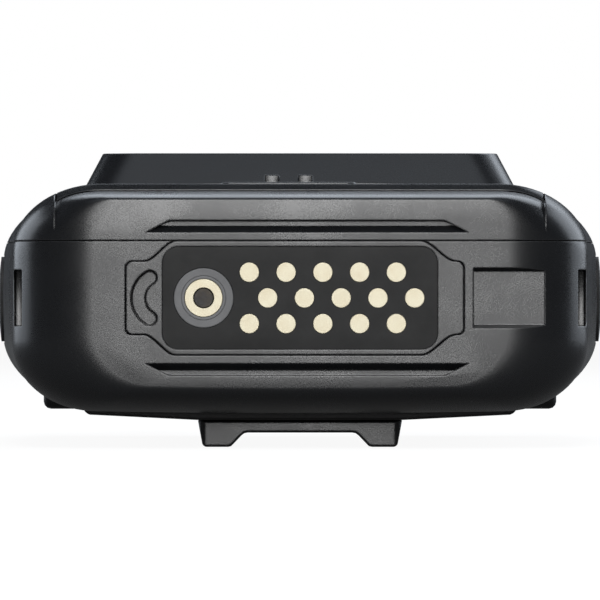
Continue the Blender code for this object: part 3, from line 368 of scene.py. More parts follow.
# %% Rings and bridges
AXES = {
    "X": lambda across, up, along: (along, across, up),
    "Y": lambda across, up, along: (across, along, up),
    "Z": lambda across, up, along: (across, up, along),
}


def add_ring(form, points):
    """A closed ring of edges through 3-D points; returns its edges."""
    verts = [form.verts.new(point) for point in points]
    return [form.edges.new((verts[index - 1], verts[index])) for index in range(len(verts))]


def bridged(rings, close_ends=True):
    """A skin over a row of rings with equal counts of points, with or without its two end faces."""
    form = bmesh.new()
    loops = [add_ring(form, ring) for ring in rings]
    for near, far in zip(loops, loops[1:]):
        bmesh.ops.bridge_loops(form, edges=near + far)
    if close_ends:
        for loop in (loops[0], loops[-1]):
            bmesh.ops.contextual_create(form, geom=loop)
    bmesh.ops.recalc_face_normals(form, faces=form.faces)
    return form


print("add_ring, bridged")

# %% Plugs
def plug(points, start, end, axis="Y", edge=0.0, steps=3):
    """An outline drawn out along an axis; edge rounds the rims of its two ends."""
    place = AXES[axis]
    form = bmesh.new()
    loop = add_ring(form, [place(across, up, start) for across, up in points])
    base = bmesh.ops.contextual_create(form, geom=loop)["faces"]
    grown = bmesh.ops.extrude_face_region(form, geom=base, use_keep_orig=True)["geom"]
    far = [item for item in grown if isinstance(item, bmesh.types.BMVert)]
    bmesh.ops.translate(form, verts=far, vec=place(0.0, 0.0, end - start))
    bmesh.ops.recalc_face_normals(form, faces=form.faces)
    if edge:
        ends = [face for face in form.faces if len(face.verts) == len(points)]
        rims = list({rim for face in ends for rim in face.edges})
        bmesh.ops.bevel(
            form, geom=rims, offset=edge, affect="EDGES", segments=steps, profile=0.5, material=-1
        )
    return form


print("plug")

# %% Blocks
def block(low, high, edge=0.0, steps=3):
    """A box between two corners, with all its edges rounded."""
    form = bmesh.new()
    low, high = Vector(low), Vector(high)
    size = high - low
    bmesh.ops.create_cube(form, size=1.0, matrix=Matrix.LocRotScale((low + high) / 2, None, size))
    if edge:
        bmesh.ops.bevel(
            form, geom=form.edges, offset=edge, affect="EDGES", segments=steps, profile=0.5, material=-1
        )
    return form


print("block")

# %% Turned forms
def spun(profile, centre, steps=64, axis="Y"):
    """A profile of (radius, along) points turned once about an axis through a centre."""
    place = AXES[axis]
    form = bmesh.new()
    verts = [form.verts.new(place(radius, 0.0, along)) for radius, along in profile]
    edges = [form.edges.new(pair) for pair in zip(verts, verts[1:])]
    if profile[0][0] > 0.0:
        edges.append(form.edges.new((verts[-1], verts[0])))
    bmesh.ops.spin(
        form, geom=verts + edges, cent=(0.0, 0.0, 0.0), axis=place(0.0, 0.0, 1.0),
        angle=math.tau, steps=steps, use_merge=True,
    )
    bmesh.ops.remove_doubles(form, verts=form.verts, dist=1e-7)
    bmesh.ops.recalc_face_normals(form, faces=form.faces)
    bmesh.ops.translate(form, verts=form.verts, vec=centre)
    return form


print("spun")

# %% Several forms as one
def together(*forms):
    """Several separate solids in one form, for a tool that cuts them all at once."""
    whole = bmesh.new()
    for form in forms:
        mesh = bpy.data.meshes.new("step")
        form.to_mesh(mesh)
        form.free()
        whole.from_mesh(mesh)
        bpy.data.meshes.remove(mesh)
    return whole


print("together")

# %% New pieces
def new_piece(name, form, sharp=32.0):
    """An object at the origin from a form, shaded smooth up to an angle in degrees."""
    mesh = bpy.data.meshes.new(name)
    form.to_mesh(mesh)
    form.free()
    mesh.shade_smooth()
    mesh.set_sharp_from_angle(angle=math.radians(sharp))
    piece = bpy.data.objects.new(name, mesh)
    bpy.context.collection.objects.link(piece)
    return piece


print("new_piece")

# %% Carving
def carve(piece, *steps, sharp=32.0):
    """Applies Boolean steps in order; a step is a form, or an (operation, form) pair."""
    tools = []
    for step in steps:
        operation, form = step if isinstance(step, tuple) else ("DIFFERENCE", step)
        tool = new_piece("tool", form) if isinstance(form, bmesh.types.BMesh) else form
        cut = piece.modifiers.new("cut", "BOOLEAN")
        cut.operation, cut.solver, cut.object = operation, "EXACT", tool
        tools.append(tool)
    mesh = bpy.data.meshes.new_from_object(piece.evaluated_get(bpy.context.evaluated_depsgraph_get()))
    piece.modifiers.clear()
    old, piece.data = piece.data, mesh
    bpy.data.meshes.remove(old)
    mesh.name = piece.name
    for tool in tools:
        bpy.data.objects.remove(tool)
    clean = bmesh.new()
    clean.from_mesh(mesh)
    bmesh.ops.remove_doubles(clean, verts=clean.verts, dist=2e-6)
    bmesh.ops.dissolve_degenerate(clean, edges=clean.edges, dist=2e-6)
    clean.to_mesh(mesh)
    clean.free()
    mesh.shade_smooth()
    mesh.set_sharp_from_angle(angle=math.radians(sharp))
    return piece


print("carve")

# %% Finishing a piece
FLAT_FACES = 8.0


def crisp(piece, angle=12.0):
    """Marks every edge above a small angle as sharp, so that flat faces shade flat."""
    piece.data.set_sharp_from_angle(angle=math.radians(angle))
    return piece


def finish(piece, material, body, slot, *nodes):
    """Gives a piece its material and its body, and hides the design nodes that it stands for; slot is not
    used.
    """
    piece.data.materials.clear()
    piece.data.materials.append(material)
    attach(piece, body)
    if nodes:
        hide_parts(*nodes)
    print(f"{piece.name}: {len(piece.data.polygons)} faces")
    return piece


print("crisp, finish")

# %% [markdown]
# ## The case form
# Both shells share one outer form: a flat body with elliptical corners, pillow-shaped ends, and sides that
# swell into a grip at mid length. It is a row of rings from the dock to the top end, bridged one to the
# next. The rings are close together where an end rounds over and farther apart along the body.

# %% Case sizes
CASE_HALF_WIDTH = 29.0 * MM
CASE_LOW = 3.7 * MM
BACK_CROWN = 0.2 * MM
LOW_CORNER = (8.5 * MM, 7.0 * MM)
HIGH_CORNER = (9.0 * MM, 6.9 * MM)
DOCK_END = (7.0 * MM, 8.3 * MM, 2.6 * MM, 1.8 * MM)
CORNER_TIGHTENING = 0.62
TOP_END = (4.0 * MM, 4.0 * MM, 2.0 * MM, 2.0 * MM)
FLARE = 0.75 * MM
GRIP_BULGE = 1.5 * MM
GRIP_CENTRE = 47.0 * MM
GRIP_REACH = 36.0 * MM
GRIP_Z = 15.0 * MM
GRIP_HALF_HEIGHT = 10.0 * MM
CASE_MIDDLE = (CASE_LOW + CASE_TOP) / 2
CASE_HALF_HEIGHT = (CASE_TOP - CASE_LOW) / 2
BEYOND = 10.0 * MM
print(f"case {2 * CASE_HALF_WIDTH / MM:.1f} mm wide, {2 * CASE_HALF_HEIGHT / MM:.1f} mm thick")


# %% Case outline
def case_outline(length, widen, tight=1.0):
    """The body's section at a distance from the dock face; tight shrinks its upper corners."""
    high_corner = [size * tight for size in HIGH_CORNER]
    half = CASE_HALF_WIDTH + widen
    half += FLARE * smooth_step((length - DOCK_END[0]) / (GRIP_CENTRE - DOCK_END[0]))
    reach = min(1.0, abs(length - GRIP_CENTRE) / GRIP_REACH)
    bulge = GRIP_BULGE * 0.5 * (1.0 + math.cos(math.pi * reach))
    low_side = CASE_LOW + LOW_CORNER[1]
    high_side = CASE_TOP - high_corner[1]
    back_flat = half - LOW_CORNER[0]
    low = arc((back_flat, low_side), LOW_CORNER, -90.0, 0.0, 20)
    side = [(half, low_side + (high_side - low_side) * step / 10) for step in range(1, 10)]
    high = arc((half - high_corner[0], high_side), high_corner, 0.0, 90.0, 20)
    front = [((half - high_corner[0]) * share / 8, CASE_TOP) for share in range(7, 0, -1)]
    right = low + side + high + front
    points = []
    mirrored = [(-across, up) for across, up in reversed(right)]
    for across, up in right + [(0.0, CASE_TOP)] + mirrored:
        swell = bulge * max(0.0, 1.0 - ((up - GRIP_Z) / GRIP_HALF_HEIGHT) ** 2)
        points.append((across + math.copysign(swell, across), up))
    for share in range(-9, 10):
        points.append((back_flat * share / 10, CASE_LOW - BACK_CROWN * (1.0 - (share / 10) ** 2)))
    return points


print(f"case outline of {len(case_outline(GRIP_CENTRE, 0.0))} points")

# %% Case rings
def case_ring(length, draw, widen, drop):
    """One ring; draw is how far its sides, back and front are drawn in."""
    sides, back, front = draw
    ring = []
    tight = 1.0 - CORNER_TIGHTENING * sides / DOCK_END[1] if length < DOCK_END[0] else 1.0
    for across, up in case_outline(length, widen, tight):
        height = up - CASE_MIDDLE
        share = (front if height > 0.0 else back) / CASE_HALF_HEIGHT
        narrow = 1.0 - sides / CASE_HALF_WIDTH
        ring.append((across * narrow, DOCK_Y + length, CASE_MIDDLE + height * (1.0 - share) - drop))
    return ring


def case_form(widen=0.0, drop=0.0, front_draw=DOCK_END[3], end_steps=18, body_steps=44):
    """The whole outer form, widened at its sides or let down by an amount."""
    rings = []
    for step in range(end_steps + 1):
        angle = math.pi / 2 * step / end_steps
        draw = [amount * (1.0 - math.sin(angle)) for amount in (*DOCK_END[1:3], front_draw)]
        rings.append(case_ring(DOCK_END[0] * (1.0 - math.cos(angle)), draw, widen, drop))
    straight = BODY_LENGTH - DOCK_END[0] - TOP_END[0]
    for step in range(1, body_steps):
        rings.append(case_ring(DOCK_END[0] + straight * step / body_steps, (0.0, 0.0, 0.0), widen, drop))
    for step in range(end_steps + 1):
        angle = math.pi / 2 * (end_steps - step) / end_steps
        draw = [amount * (1.0 - math.sin(angle)) for amount in TOP_END[1:]]
        rings.append(case_ring(BODY_LENGTH - TOP_END[0] * (1.0 - math.cos(angle)), draw, widen, drop))
    return bridged(rings)


trial = case_form()
print(f"case form: {len(trial.faces)} faces")
trial.free()

# %% [markdown]
# ## The rear shell
# The rear shell holds the dock, the battery bay and the boards. It could be made thin with a Solidify
# modifier, but its inside has its own corners, so an inside plug is cut from the outer form instead, as a
# mould's core does. Its top rim is the seam. The two feet on the head end are a squared block, joined on.

# %% Cavity sizes
SIDE_WALL = 2.2 * MM
END_WALL = 3.2 * MM
CAVITY_CORNER = 6.0 * MM
CAVITY_HALF_WIDTH = CASE_HALF_WIDTH - SIDE_WALL
SHOULDER_Z = 21.8 * MM
ROOF_HALF_WIDTH = 22.8 * MM
ROOF_Z = 24.4 * MM
BAY_ROOF = 10.6 * MM
MIDDLE_Y = DOCK_Y + BODY_LENGTH / 2


print(f"cavity {2 * CAVITY_HALF_WIDTH / MM:.1f} mm wide")

# %% Places along the body
def place_y(length):
    """A distance from the dock face as a place in the frame."""
    return DOCK_Y + length


def slab(half, start, end, low, high, edge=0.0):
    """A box across the middle, from one distance along the body to another."""
    return block((-half, place_y(start), low), (half, place_y(end), high), edge)


def cavity(half, low, high):
    """The inside between the shells, as a plug with rounded corners."""
    outline = rounded_rectangle((0.0, MIDDLE_Y), (half, BODY_LENGTH / 2 - END_WALL), CAVITY_CORNER, 12)
    return plug(outline, low, high, "Z")


def whole_slab(low, high):
    """A slab wider and longer than the body, for parting it at a height."""
    return slab(CASE_HALF_WIDTH + BEYOND, -BEYOND, BODY_LENGTH + BEYOND, low, high)


print("place_y, slab, cavity, whole_slab")

# %% [markdown]
# ## What is cut into the dock end
# The dock end of the shells has a window for the contact frame, a drafted hole for the accessory's latch, a
# pocket at each side, and two guide grooves above and below the frame. A groove has one steep wall next to
# the frame and one thin wall away from it, with a flat floor between. All its faces are flat and it bulges
# nowhere inwards, so it is simply the hull of its eight corners.

# %% Dock sizes
WING_HALF_HEIGHT = 3.66 * MM
WING_CORNER = 0.7 * MM
LEFT_SHOULDER = (-15.6 * MM, -12.4 * MM)
RIGHT_SHOULDER = (12.1 * MM, 15.6 * MM)
FRAME_HALF_HEIGHT = (frame_high.z - frame_low.z) / 2
POCKET_X = (17.33 * MM, 24.49 * MM)
POCKET_HALF_HEIGHT = 3.03 * MM
POCKET_DRAFT = 0.35 * MM
POCKET_DEPTH = 1.0 * MM
SIDE_POCKET_X = (27.9 * MM, 28.75 * MM)
SIDE_POCKET_HALF_HEIGHT = 2.84 * MM
SIDE_POCKET_FLOOR = 9.0 * MM
GROOVE_STEEP = 6.48 * MM
GROOVE_SHALLOW = 7.79 * MM
GROOVE_DRAFT = 0.76 * MM
GROOVE_DEPTH = 0.8 * MM
GROOVE_TIPS = (-15.6 * MM, 17.0 * MM)
GROOVE_SLANT = 2.55 * MM
GROOVE_LEAN = 0.08 * MM
PRESS_FIT = 0.02 * MM
WINDOW_FIT = 0.07 * MM
FIT = 0.15 * MM
SLIDE_FIT = 0.3 * MM
print(f"contact frame {2 * FRAME_HALF_HEIGHT / MM:.1f} mm high")


# %% The contact frame's outline
def shoulder(low_x, high_x, grow, steps=12):
    """An S-shaped step from the frame's wing up to its tall middle."""
    points = []
    for step in range(steps + 1):
        share = step / steps
        rise = WING_HALF_HEIGHT + (FRAME_HALF_HEIGHT - WING_HALF_HEIGHT) * smooth_step(share) + grow
        points.append((low_x + (high_x - low_x) * share, rise))
    return points


def frame_outline(grow=0.0):
    """The dock frame: a tall middle and a lower wing each side."""
    left, right = frame_low.x - grow, frame_high.x + grow
    corner = WING_HALF_HEIGHT + grow - WING_CORNER
    top = arc((right - WING_CORNER, corner), (WING_CORNER, WING_CORNER), 0.0, 90.0, 8)
    top += shoulder(RIGHT_SHOULDER[1] + grow, RIGHT_SHOULDER[0] + grow, grow)
    top += reversed(shoulder(LEFT_SHOULDER[0] - grow, LEFT_SHOULDER[1] - grow, grow))
    top += arc((left + WING_CORNER, corner), (WING_CORNER, WING_CORNER), 90.0, 180.0, 8)
    return [(across, DOCK_Z + up) for across, up in top + [(x, -z) for x, z in reversed(top)]]


print(f"outline of {len(frame_outline())} points")

# %% Grooves
def wedge(points):
    """The hull of a few points."""
    form = bmesh.new()
    for point in points:
        form.verts.new(point)
    bmesh.ops.convex_hull(form, input=form.verts)
    bmesh.ops.recalc_face_normals(form, faces=form.faces)
    return form


def guide_groove(side):
    """The groove above (1) or below (-1) the frame: steep near the frame, thin away from it."""
    steep, shallow = DOCK_Z + side * GROOVE_STEEP, DOCK_Z + side * GROOVE_SHALLOW
    left, right = GROOVE_TIPS
    mouth, floor_y = place_y(-0.05 * MM), place_y(GROOVE_DEPTH)
    bottom, inset = steep + side * GROOVE_DRAFT, GROOVE_SLANT / 2
    brink, tip = shallow - side * GROOVE_LEAN, GROOVE_SLANT + GROOVE_LEAN
    return wedge([
        (left, mouth, steep), (right, mouth, steep),
        (left + GROOVE_SLANT, mouth, shallow), (right - GROOVE_SLANT, mouth, shallow),
        (left + inset, floor_y, bottom), (right - inset, floor_y, bottom),
        (left + tip, floor_y, brink), (right - tip, floor_y, brink),
    ])


print("wedge, guide_groove")

# %% Pockets
def latch_pocket():
    """The latch hole, its mouth wider than its floor, with its four long corners rounded."""
    rings = []
    for length, draft in ((-0.3, -0.1), (0.0, 0.0), (POCKET_DEPTH / MM, 1.0)):
        half = ((POCKET_X[1] - POCKET_X[0]) / 2, POCKET_HALF_HEIGHT - POCKET_DRAFT * draft)
        outline = rounded_rectangle(((POCKET_X[0] + POCKET_X[1]) / 2, DOCK_Z), half, 0.15 * MM, 4)
        rings.append([(across, place_y(length * MM), up) for across, up in outline])
    return bridged(rings)


def side_pockets():
    """The narrow upright pocket near each side of the end face."""
    half = SIDE_POCKET_HALF_HEIGHT
    forms = []
    for side in (-1, 1):
        low_x, high_x = sorted(side * edge for edge in SIDE_POCKET_X)
        start, end = place_y(-MM), place_y(SIDE_POCKET_FLOOR)
        forms.append(block((low_x, start, DOCK_Z - half), (high_x, end, DOCK_Z + half), 0.12 * MM))
    return together(*forms)


print("latch_pocket, side_pockets")

# %% [markdown]
# ## What is cut into the sides, the back and the top end
# The side buttons, the battery, its latch, the screws and the fittings each have a hole with a little
# clearance round them. Every hole goes into one of two tools, so that each shell is cut in few steps.

# %% Sizes of the other openings
SIDE_BUTTON_HALF = (11.0 * MM, 4.4 * MM)
SIDE_BUTTON_CORNER = 3.2 * MM
SIDE_WELL_FLOOR = 28.2 * MM
CASE_SCREW_X = 24.6 * MM
CASE_SCREW_Y = (20.0 * MM, 78.0 * MM)
SCREW_RADIUS = 0.8 * MM
SCREW_HEAD_RADIUS = 1.6 * MM
CASE_SCREW_SEAT = 8.5 * MM
FOOT_LOW = 3.1 * MM
FITTING_Z = 13.0 * MM
ANTENNA_X = -17.0 * MM
SOCKET_RADIUS = 3.6 * MM
MIC_X = 16.5 * MM
MIC_SHELL_RADIUS = 5.6 * MM
SWITCH_HALF = 2.0 * MM
SWITCH_TRAVEL = 3.0 * MM
battery_start, battery_end = battery_low.y - DOCK_Y, battery_high.y - DOCK_Y
latch_low, latch_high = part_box("battery_latch")
print(f"battery bay {(battery_end - battery_start) / MM:.1f} mm long")

# %% Wells and holes
def grip_outline(grow=0.0):
    """A side button's rounded outline, as (along, up)."""
    half = [size + grow for size in SIDE_BUTTON_HALF]
    return rounded_rectangle((place_y(GRIP_CENTRE), GRIP_Z), half, SIDE_BUTTON_CORNER + grow, 14)


def side_wells():
    """The well behind each side button."""
    floors = [sorted((side * SIDE_WELL_FLOOR, side * (SIDE_WELL_FLOOR + BEYOND))) for side in (-1, 1)]
    return together(*(plug(grip_outline(FIT), *pair, "X") for pair in floors))


def screw_places():
    """The four case screws, as (across, along)."""
    return [(side * CASE_SCREW_X, place_y(length)) for length in CASE_SCREW_Y for side in (-1, 1)]


def screw_wells():
    """The wells of the screw heads, and the holes of their shanks."""
    radius = SCREW_HEAD_RADIUS + FIT
    wells = [plug(circle(place, radius), -BEYOND, CASE_SCREW_SEAT, "Z") for place in screw_places()]
    holes = [plug(circle(place, SCREW_RADIUS + FIT, 24), 0.0, SHOULDER_Z, "Z") for place in screw_places()]
    return together(*wells), together(*holes)


def end_openings():
    """What the antenna, the microphone connector and the switch pass through."""
    inside, outside = place_y(BODY_LENGTH - END_WALL - MM), place_y(BODY_LENGTH + BEYOND)
    half = SWITCH_HALF + FIT
    reach = SWITCH_TRAVEL / 2 + half
    switch = block((-reach, inside, FITTING_Z - half), (reach, outside, FITTING_Z + half), 0.3 * MM)
    return together(
        plug(circle((ANTENNA_X, FITTING_Z), SOCKET_RADIUS + FIT, 64), inside, outside),
        plug(circle((MIC_X, FITTING_Z), MIC_SHELL_RADIUS + FIT, 96), inside, outside), switch,
    )


print(f"{len(screw_places())} case screws")

# %% Rear shell
FOOT_HALF_WIDTH = CASE_HALF_WIDTH - 1.2 * MM
FOOT_EDGE = 0.8 * MM
FOOT_ENDS = (2.5 * MM, 16.0 * MM)
WEB_TOP = 12.3 * MM
DOCK_WELL = (19.5 * MM, 10.0 * MM, 7.0 * MM)
TOP_WELL = (24.5 * MM, 11.8 * MM, 7.5 * MM)
TERMINAL_HALF = (6.3 * MM, 2.3 * MM)
TERMINAL_Y = 17.0 * MM
LATCH_HALF_WIDTH = 8.3 * MM
seam_low = SEAM_Z - SEAM_GAP / 2
foot = slab(
    FOOT_HALF_WIDTH, BODY_LENGTH - FOOT_ENDS[1], BODY_LENGTH - FOOT_ENDS[0], FOOT_LOW, DOCK_Z, FOOT_EDGE
)
bay = slab(battery_high.x + SLIDE_FIT, battery_start - SLIDE_FIT, battery_end + SLIDE_FIT, -BEYOND, BAY_ROOF)
half, reach, floor_z = DOCK_WELL
dock_well = slab(half, END_WALL, reach, floor_z, WEB_TOP + MM)
half, reach, floor_z = TOP_WELL
top_well = slab(half, BODY_LENGTH - reach, BODY_LENGTH - END_WALL, floor_z, WEB_TOP + MM)
terminal_hole = slab(
    TERMINAL_HALF[0], TERMINAL_Y - TERMINAL_HALF[1], TERMINAL_Y + TERMINAL_HALF[1],
    BAY_ROOF - MM, WEB_TOP + MM,
)
latch_slot = slab(
    LATCH_HALF_WIDTH, battery_end + SLIDE_FIT - MM, latch_high.y - DOCK_Y + 2.0 * MM + SLIDE_FIT,
    -BEYOND, latch_high.z + SLIDE_FIT,
)
wells, holes = screw_wells()
rear = new_piece("rear_shell", case_form())
carve(
    rear, ("UNION", foot), whole_slab(seam_low, CASE_TOP + BEYOND),
    cavity(CAVITY_HALF_WIDTH, WEB_TOP, CASE_TOP + BEYOND), dock_well, top_well, bay,
    terminal_hole, latch_slot,
)
carve(
    rear, plug(frame_outline(WINDOW_FIT), place_y(-BEYOND), place_y(END_WALL + MM)), latch_pocket(),
    side_pockets(), guide_groove(-1), side_wells(), wells, holes, end_openings(),
)
finish(rear, case_plastic, "case", "case_plastic", "rear_shell")
low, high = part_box("rear_shell")
print(f"rear shell widest {max(v.co.x for v in rear.data.vertices) / MM:.2f} mm, design {high.x / MM:.2f} mm")

# %% [markdown]
# ## The front shell
# The front shell is the same form above the seam. It has a step for the fascia, wells for the keys and a
# window for the display. Its roof is hollowed in two depths, so that its thick rim carries the seal groove.
# The screw bosses hang down inside it and meet the screws that come up from the back.

# %% Front shell sizes
FASCIA_HALF_WIDTH = 24.45 * MM
FASCIA_START = 4.0 * MM
FASCIA_END = BODY_LENGTH - 4.2 * MM
FASCIA_THICKNESS = 0.65 * MM
HOOD_LENGTH = 38.0 * MM
HOOD_START = FASCIA_END - HOOD_LENGTH - 0.3 * MM
BOSS_RADIUS = 2.0 * MM
CASE_SCREW_TIP = 21.2 * MM
SEAL_OFFSET = 1.1 * MM
SEAL_GROOVE_WIDTH = 1.1 * MM
SEAL_GROOVE_TOP = 21.93 * MM
FUNCTION_KEY_X = -1.15 * MM
FUNCTION_KEY_START = 9.0 * MM
FUNCTION_KEY_HALF = (6.85 * MM, 4.5 * MM)
MENU_KEY_HALF = (4.5 * MM, 2.5 * MM)
MENU_KEY_PITCH = 13.0 * MM
MENU_KEY_LENGTH = HOOD_START - 8.5 * MM
KEY_WELL_DEPTH = 1.3 * MM
LENS_START = HOOD_START + 7.0 * MM
LENS_LENGTH = 24.0 * MM
print(f"fascia from {FASCIA_START / MM:.1f} mm, hood from {HOOD_START / MM:.1f} mm")


# %% Front shell cutters
def front_area(half, start, end):
    """A tall block over part of the front, which picks out what the case form has there."""
    return slab(half, start, end, CASE_MIDDLE, CASE_TOP + BEYOND)


def fascia_recess():
    """Everything above the let-down case form, in the fascia's area, running out at the dock end."""
    depth = FASCIA_THICKNESS + SEAM_GAP
    area = front_area(FASCIA_HALF_WIDTH + FIT, -MM, FASCIA_END)
    inside = case_form(drop=depth, front_draw=DOCK_END[3] - depth)
    bmesh.ops.translate(inside, verts=inside.verts, vec=(0.0, -0.04 * MM, 0.0))
    return carve(new_piece("recess", area), inside)


def key_openings(low, high, grow=FIT):
    """Holes for the function key and the three menu keys."""
    middle = (FUNCTION_KEY_X, place_y(FUNCTION_KEY_START + FUNCTION_KEY_HALF[1]))
    half = [size + grow for size in FUNCTION_KEY_HALF]
    forms = [plug(rounded_rectangle(middle, half, 1.0 * MM), low, high, "Z")]
    half = [size + grow for size in MENU_KEY_HALF]
    for step in (-1, 0, 1):
        middle = (step * MENU_KEY_PITCH, place_y(MENU_KEY_LENGTH))
        forms.append(plug(rounded_rectangle(middle, half, 1.2 * MM), low, high, "Z"))
    return together(*forms)


def seal_ring(width, low, high):
    """The groove that the seal lies in, as one ring."""
    rings = []
    for grow in (width / 2, -width / 2):
        half = (CAVITY_HALF_WIDTH + SEAL_OFFSET + grow, BODY_LENGTH / 2 - END_WALL + SEAL_OFFSET + grow)
        rings.append(rounded_rectangle((0.0, MIDDLE_Y), half, CAVITY_CORNER + SEAL_OFFSET + grow, 12))
    outer = new_piece("seal_tool", plug(rings[0], low, high, "Z"))
    return carve(outer, plug(rings[1], low - MM, high + MM, "Z"))


print("front_area, fascia_recess, key_openings, seal_ring")

# %% Front shell
seam_high = SEAM_Z + SEAM_GAP / 2
roof = rounded_rectangle((0.0, MIDDLE_Y), (ROOF_HALF_WIDTH, BODY_LENGTH / 2 - END_WALL - MM), 4.0 * MM, 12)
bosses = [
    plug(circle(place, BOSS_RADIUS), WEB_TOP + 0.3 * MM, SHOULDER_Z + MM, "Z") for place in screw_places()
]
boss_holes = [
    plug(circle(place, SCREW_RADIUS + FIT, 24), CASE_LOW, CASE_SCREW_TIP + 0.3 * MM, "Z")
    for place in screw_places()
]
front = new_piece("front_shell", case_form())
carve(
    front, whole_slab(-BEYOND, seam_high), cavity(CAVITY_HALF_WIDTH, CASE_LOW, SHOULDER_Z),
    plug(roof, CASE_MIDDLE, ROOF_Z, "Z"), ("UNION", together(*bosses)), together(*boss_holes),
    fascia_recess(), guide_groove(1), seal_ring(SEAL_GROOVE_WIDTH, CASE_MIDDLE, SEAL_GROOVE_TOP),
)
carve(
    front, key_openings(CASE_TOP - KEY_WELL_DEPTH, CASE_TOP + BEYOND),
    slab(14.0 * MM, LENS_START, LENS_START + LENS_LENGTH, CASE_MIDDLE, CASE_TOP + BEYOND),
)
finish(front, case_plastic, "case", "case_plastic", "front_shell")

# %% [markdown]
# ## The fascia and the display hood
# The fascia is a thin plate let into the front. Its near end leans back steeply, so it shows over the dock
# as a dark band with a light line at its foot. It is the case form again, kept in a slice between the
# surface and 0.65 mm below it, so it follows the body's crown. Its rims get a real chamfer, because
# highlights run along them. The hood is a tapered block with rounded corners on a foot flush with the
# fascia, hollow, with a lens on top and a low lip along its near side.

# %% Skins and rims
RIM_CHAMFER = 0.12 * MM
FASCIA_LEAN = 58.0
LIGHT_X = 19.5 * MM
LIGHT_LENGTH = MENU_KEY_LENGTH - 11.0 * MM
LIGHT_RADIUS = 1.2 * MM


def front_skin(name, area, thickness):
    """The outermost layer of the case form in one area."""
    skin = new_piece(name, case_form())
    return carve(skin, ("INTERSECT", area), case_form(drop=thickness))


def rounded_rims(piece, width, sharp=50.0, steps=2):
    """Bevels every edge of a piece that is sharper than an angle."""
    form = bmesh.new()
    form.from_mesh(piece.data)
    limit = math.radians(sharp)
    rims = [edge for edge in form.edges if edge.is_manifold and edge.calc_face_angle() > limit]
    bmesh.ops.bevel(
        form, geom=rims, offset=width, affect="EDGES", segments=steps, profile=0.5, material=-1,
        clamp_overlap=True,
    )
    bmesh.ops.remove_doubles(form, verts=form.verts, dist=1e-6)
    form.to_mesh(piece.data)
    form.free()
    piece.data.shade_smooth()
    piece.data.set_sharp_from_angle(angle=math.radians(32.0))
    return piece


print("front_skin, rounded_rims")

# %% Fascia
def fascia_area():
    """The fascia's block, whose near end leans back steeply."""
    low, high = CASE_TOP - 3.0 * MM, CASE_TOP + MM
    lean = (high - low) * math.tan(math.radians(FASCIA_LEAN))
    near, far = place_y(FASCIA_START) - 1.6 * MM, place_y(HOOD_START - FIT)
    half = FASCIA_HALF_WIDTH
    return wedge([
        (side * half, along, up)
        for side in (-1, 1)
        for along, up in ((near, low), (near + lean, high), (far, low), (far, high))
    ])


fascia = front_skin("front_fascia", fascia_area(), FASCIA_THICKNESS)
light_place = (LIGHT_X, place_y(LIGHT_LENGTH))
light_hole = plug(circle(light_place, LIGHT_RADIUS + FIT), CASE_MIDDLE, CASE_TOP + BEYOND, "Z")
carve(fascia, key_openings(CASE_MIDDLE, CASE_TOP + BEYOND), light_hole)
rounded_rims(fascia, RIM_CHAMFER, 50.0, 2)
finish(fascia, case_plastic, "case", "case_plastic", "front_fascia")

# %% Hood sizes
HOOD_BASE_HALF = 23.0 * MM
HOOD_TOP_HALF = 21.0 * MM
HOOD_CORNER = 4.0 * MM
HOOD_SLOPE = 3.0 * MM
HOOD_WALL = 1.6 * MM
APRON_HALF_WIDTH = 18.5 * MM
APRON_RISE = 0.82 * MM
APRON_LEAN = 0.20
APRON_SINK = 0.1 * MM
APRON_DEPTH = 2.2 * MM
HOOD_TOP = hood_high.z
LENS_HALF_WIDTH = 16.0 * MM
LENS_CORNER = 1.5 * MM
print(f"hood {2 * HOOD_BASE_HALF / MM:.0f} mm wide at its foot")


# %% Hood shapes
def hood_ring(height, inset):
    """The hood's outline at a height."""
    share = (height - CASE_TOP) / (HOOD_TOP - CASE_TOP)
    half = HOOD_BASE_HALF + (HOOD_TOP_HALF - HOOD_BASE_HALF) * share - inset
    near = place_y(HOOD_START + 2.0 * MM + HOOD_SLOPE * share) + inset
    far = place_y(HOOD_START + HOOD_LENGTH - 0.5 * MM) - MM * share - inset
    outline = rounded_rectangle(
        (0.0, (near + far) / 2), (half, (far - near) / 2), HOOD_CORNER - inset / 2, 16
    )
    return [(across, along, height) for across, along in outline]


def hood_block(inset, low, high, edge=0.0):
    """The tapered block, with its top rim rounded by an edge radius."""
    rings = [hood_ring(low, inset)]
    for step in range(7 if edge else 1):
        angle = math.pi / 2 * step / 6
        height = high - edge * (1.0 - math.sin(angle))
        rings.append(hood_ring(height, inset + edge * (1.0 - math.cos(angle))))
    return bridged(rings)


def lens_outline(grow=0.0):
    """The display window's outline."""
    middle = (0.0, place_y(LENS_START + LENS_LENGTH / 2))
    return rounded_rectangle(middle, (LENS_HALF_WIDTH + grow, LENS_LENGTH / 2 + grow), LENS_CORNER + grow, 8)


def hood_apron():
    """The low lip at the hood's foot, which is tallest in its middle and runs out at its ends."""
    near = place_y(HOOD_START + 1.7 * MM)
    points = []
    for step in range(-12, 13):
        share = step / 12
        rise = APRON_RISE * (1.0 - share ** 4)
        across, foot_z, crest_z = APRON_HALF_WIDTH * share, CASE_TOP - MM, CASE_TOP - APRON_SINK + rise
        points += [
            (across, near, foot_z), (across, near, CASE_TOP - APRON_SINK),
            (across, near + APRON_LEAN * (rise + APRON_SINK), crest_z),
            (across, near + APRON_DEPTH, crest_z), (across, near + APRON_DEPTH, foot_z),
        ]
    return wedge(points)


print("hood_ring, hood_block, lens_outline, hood_apron")

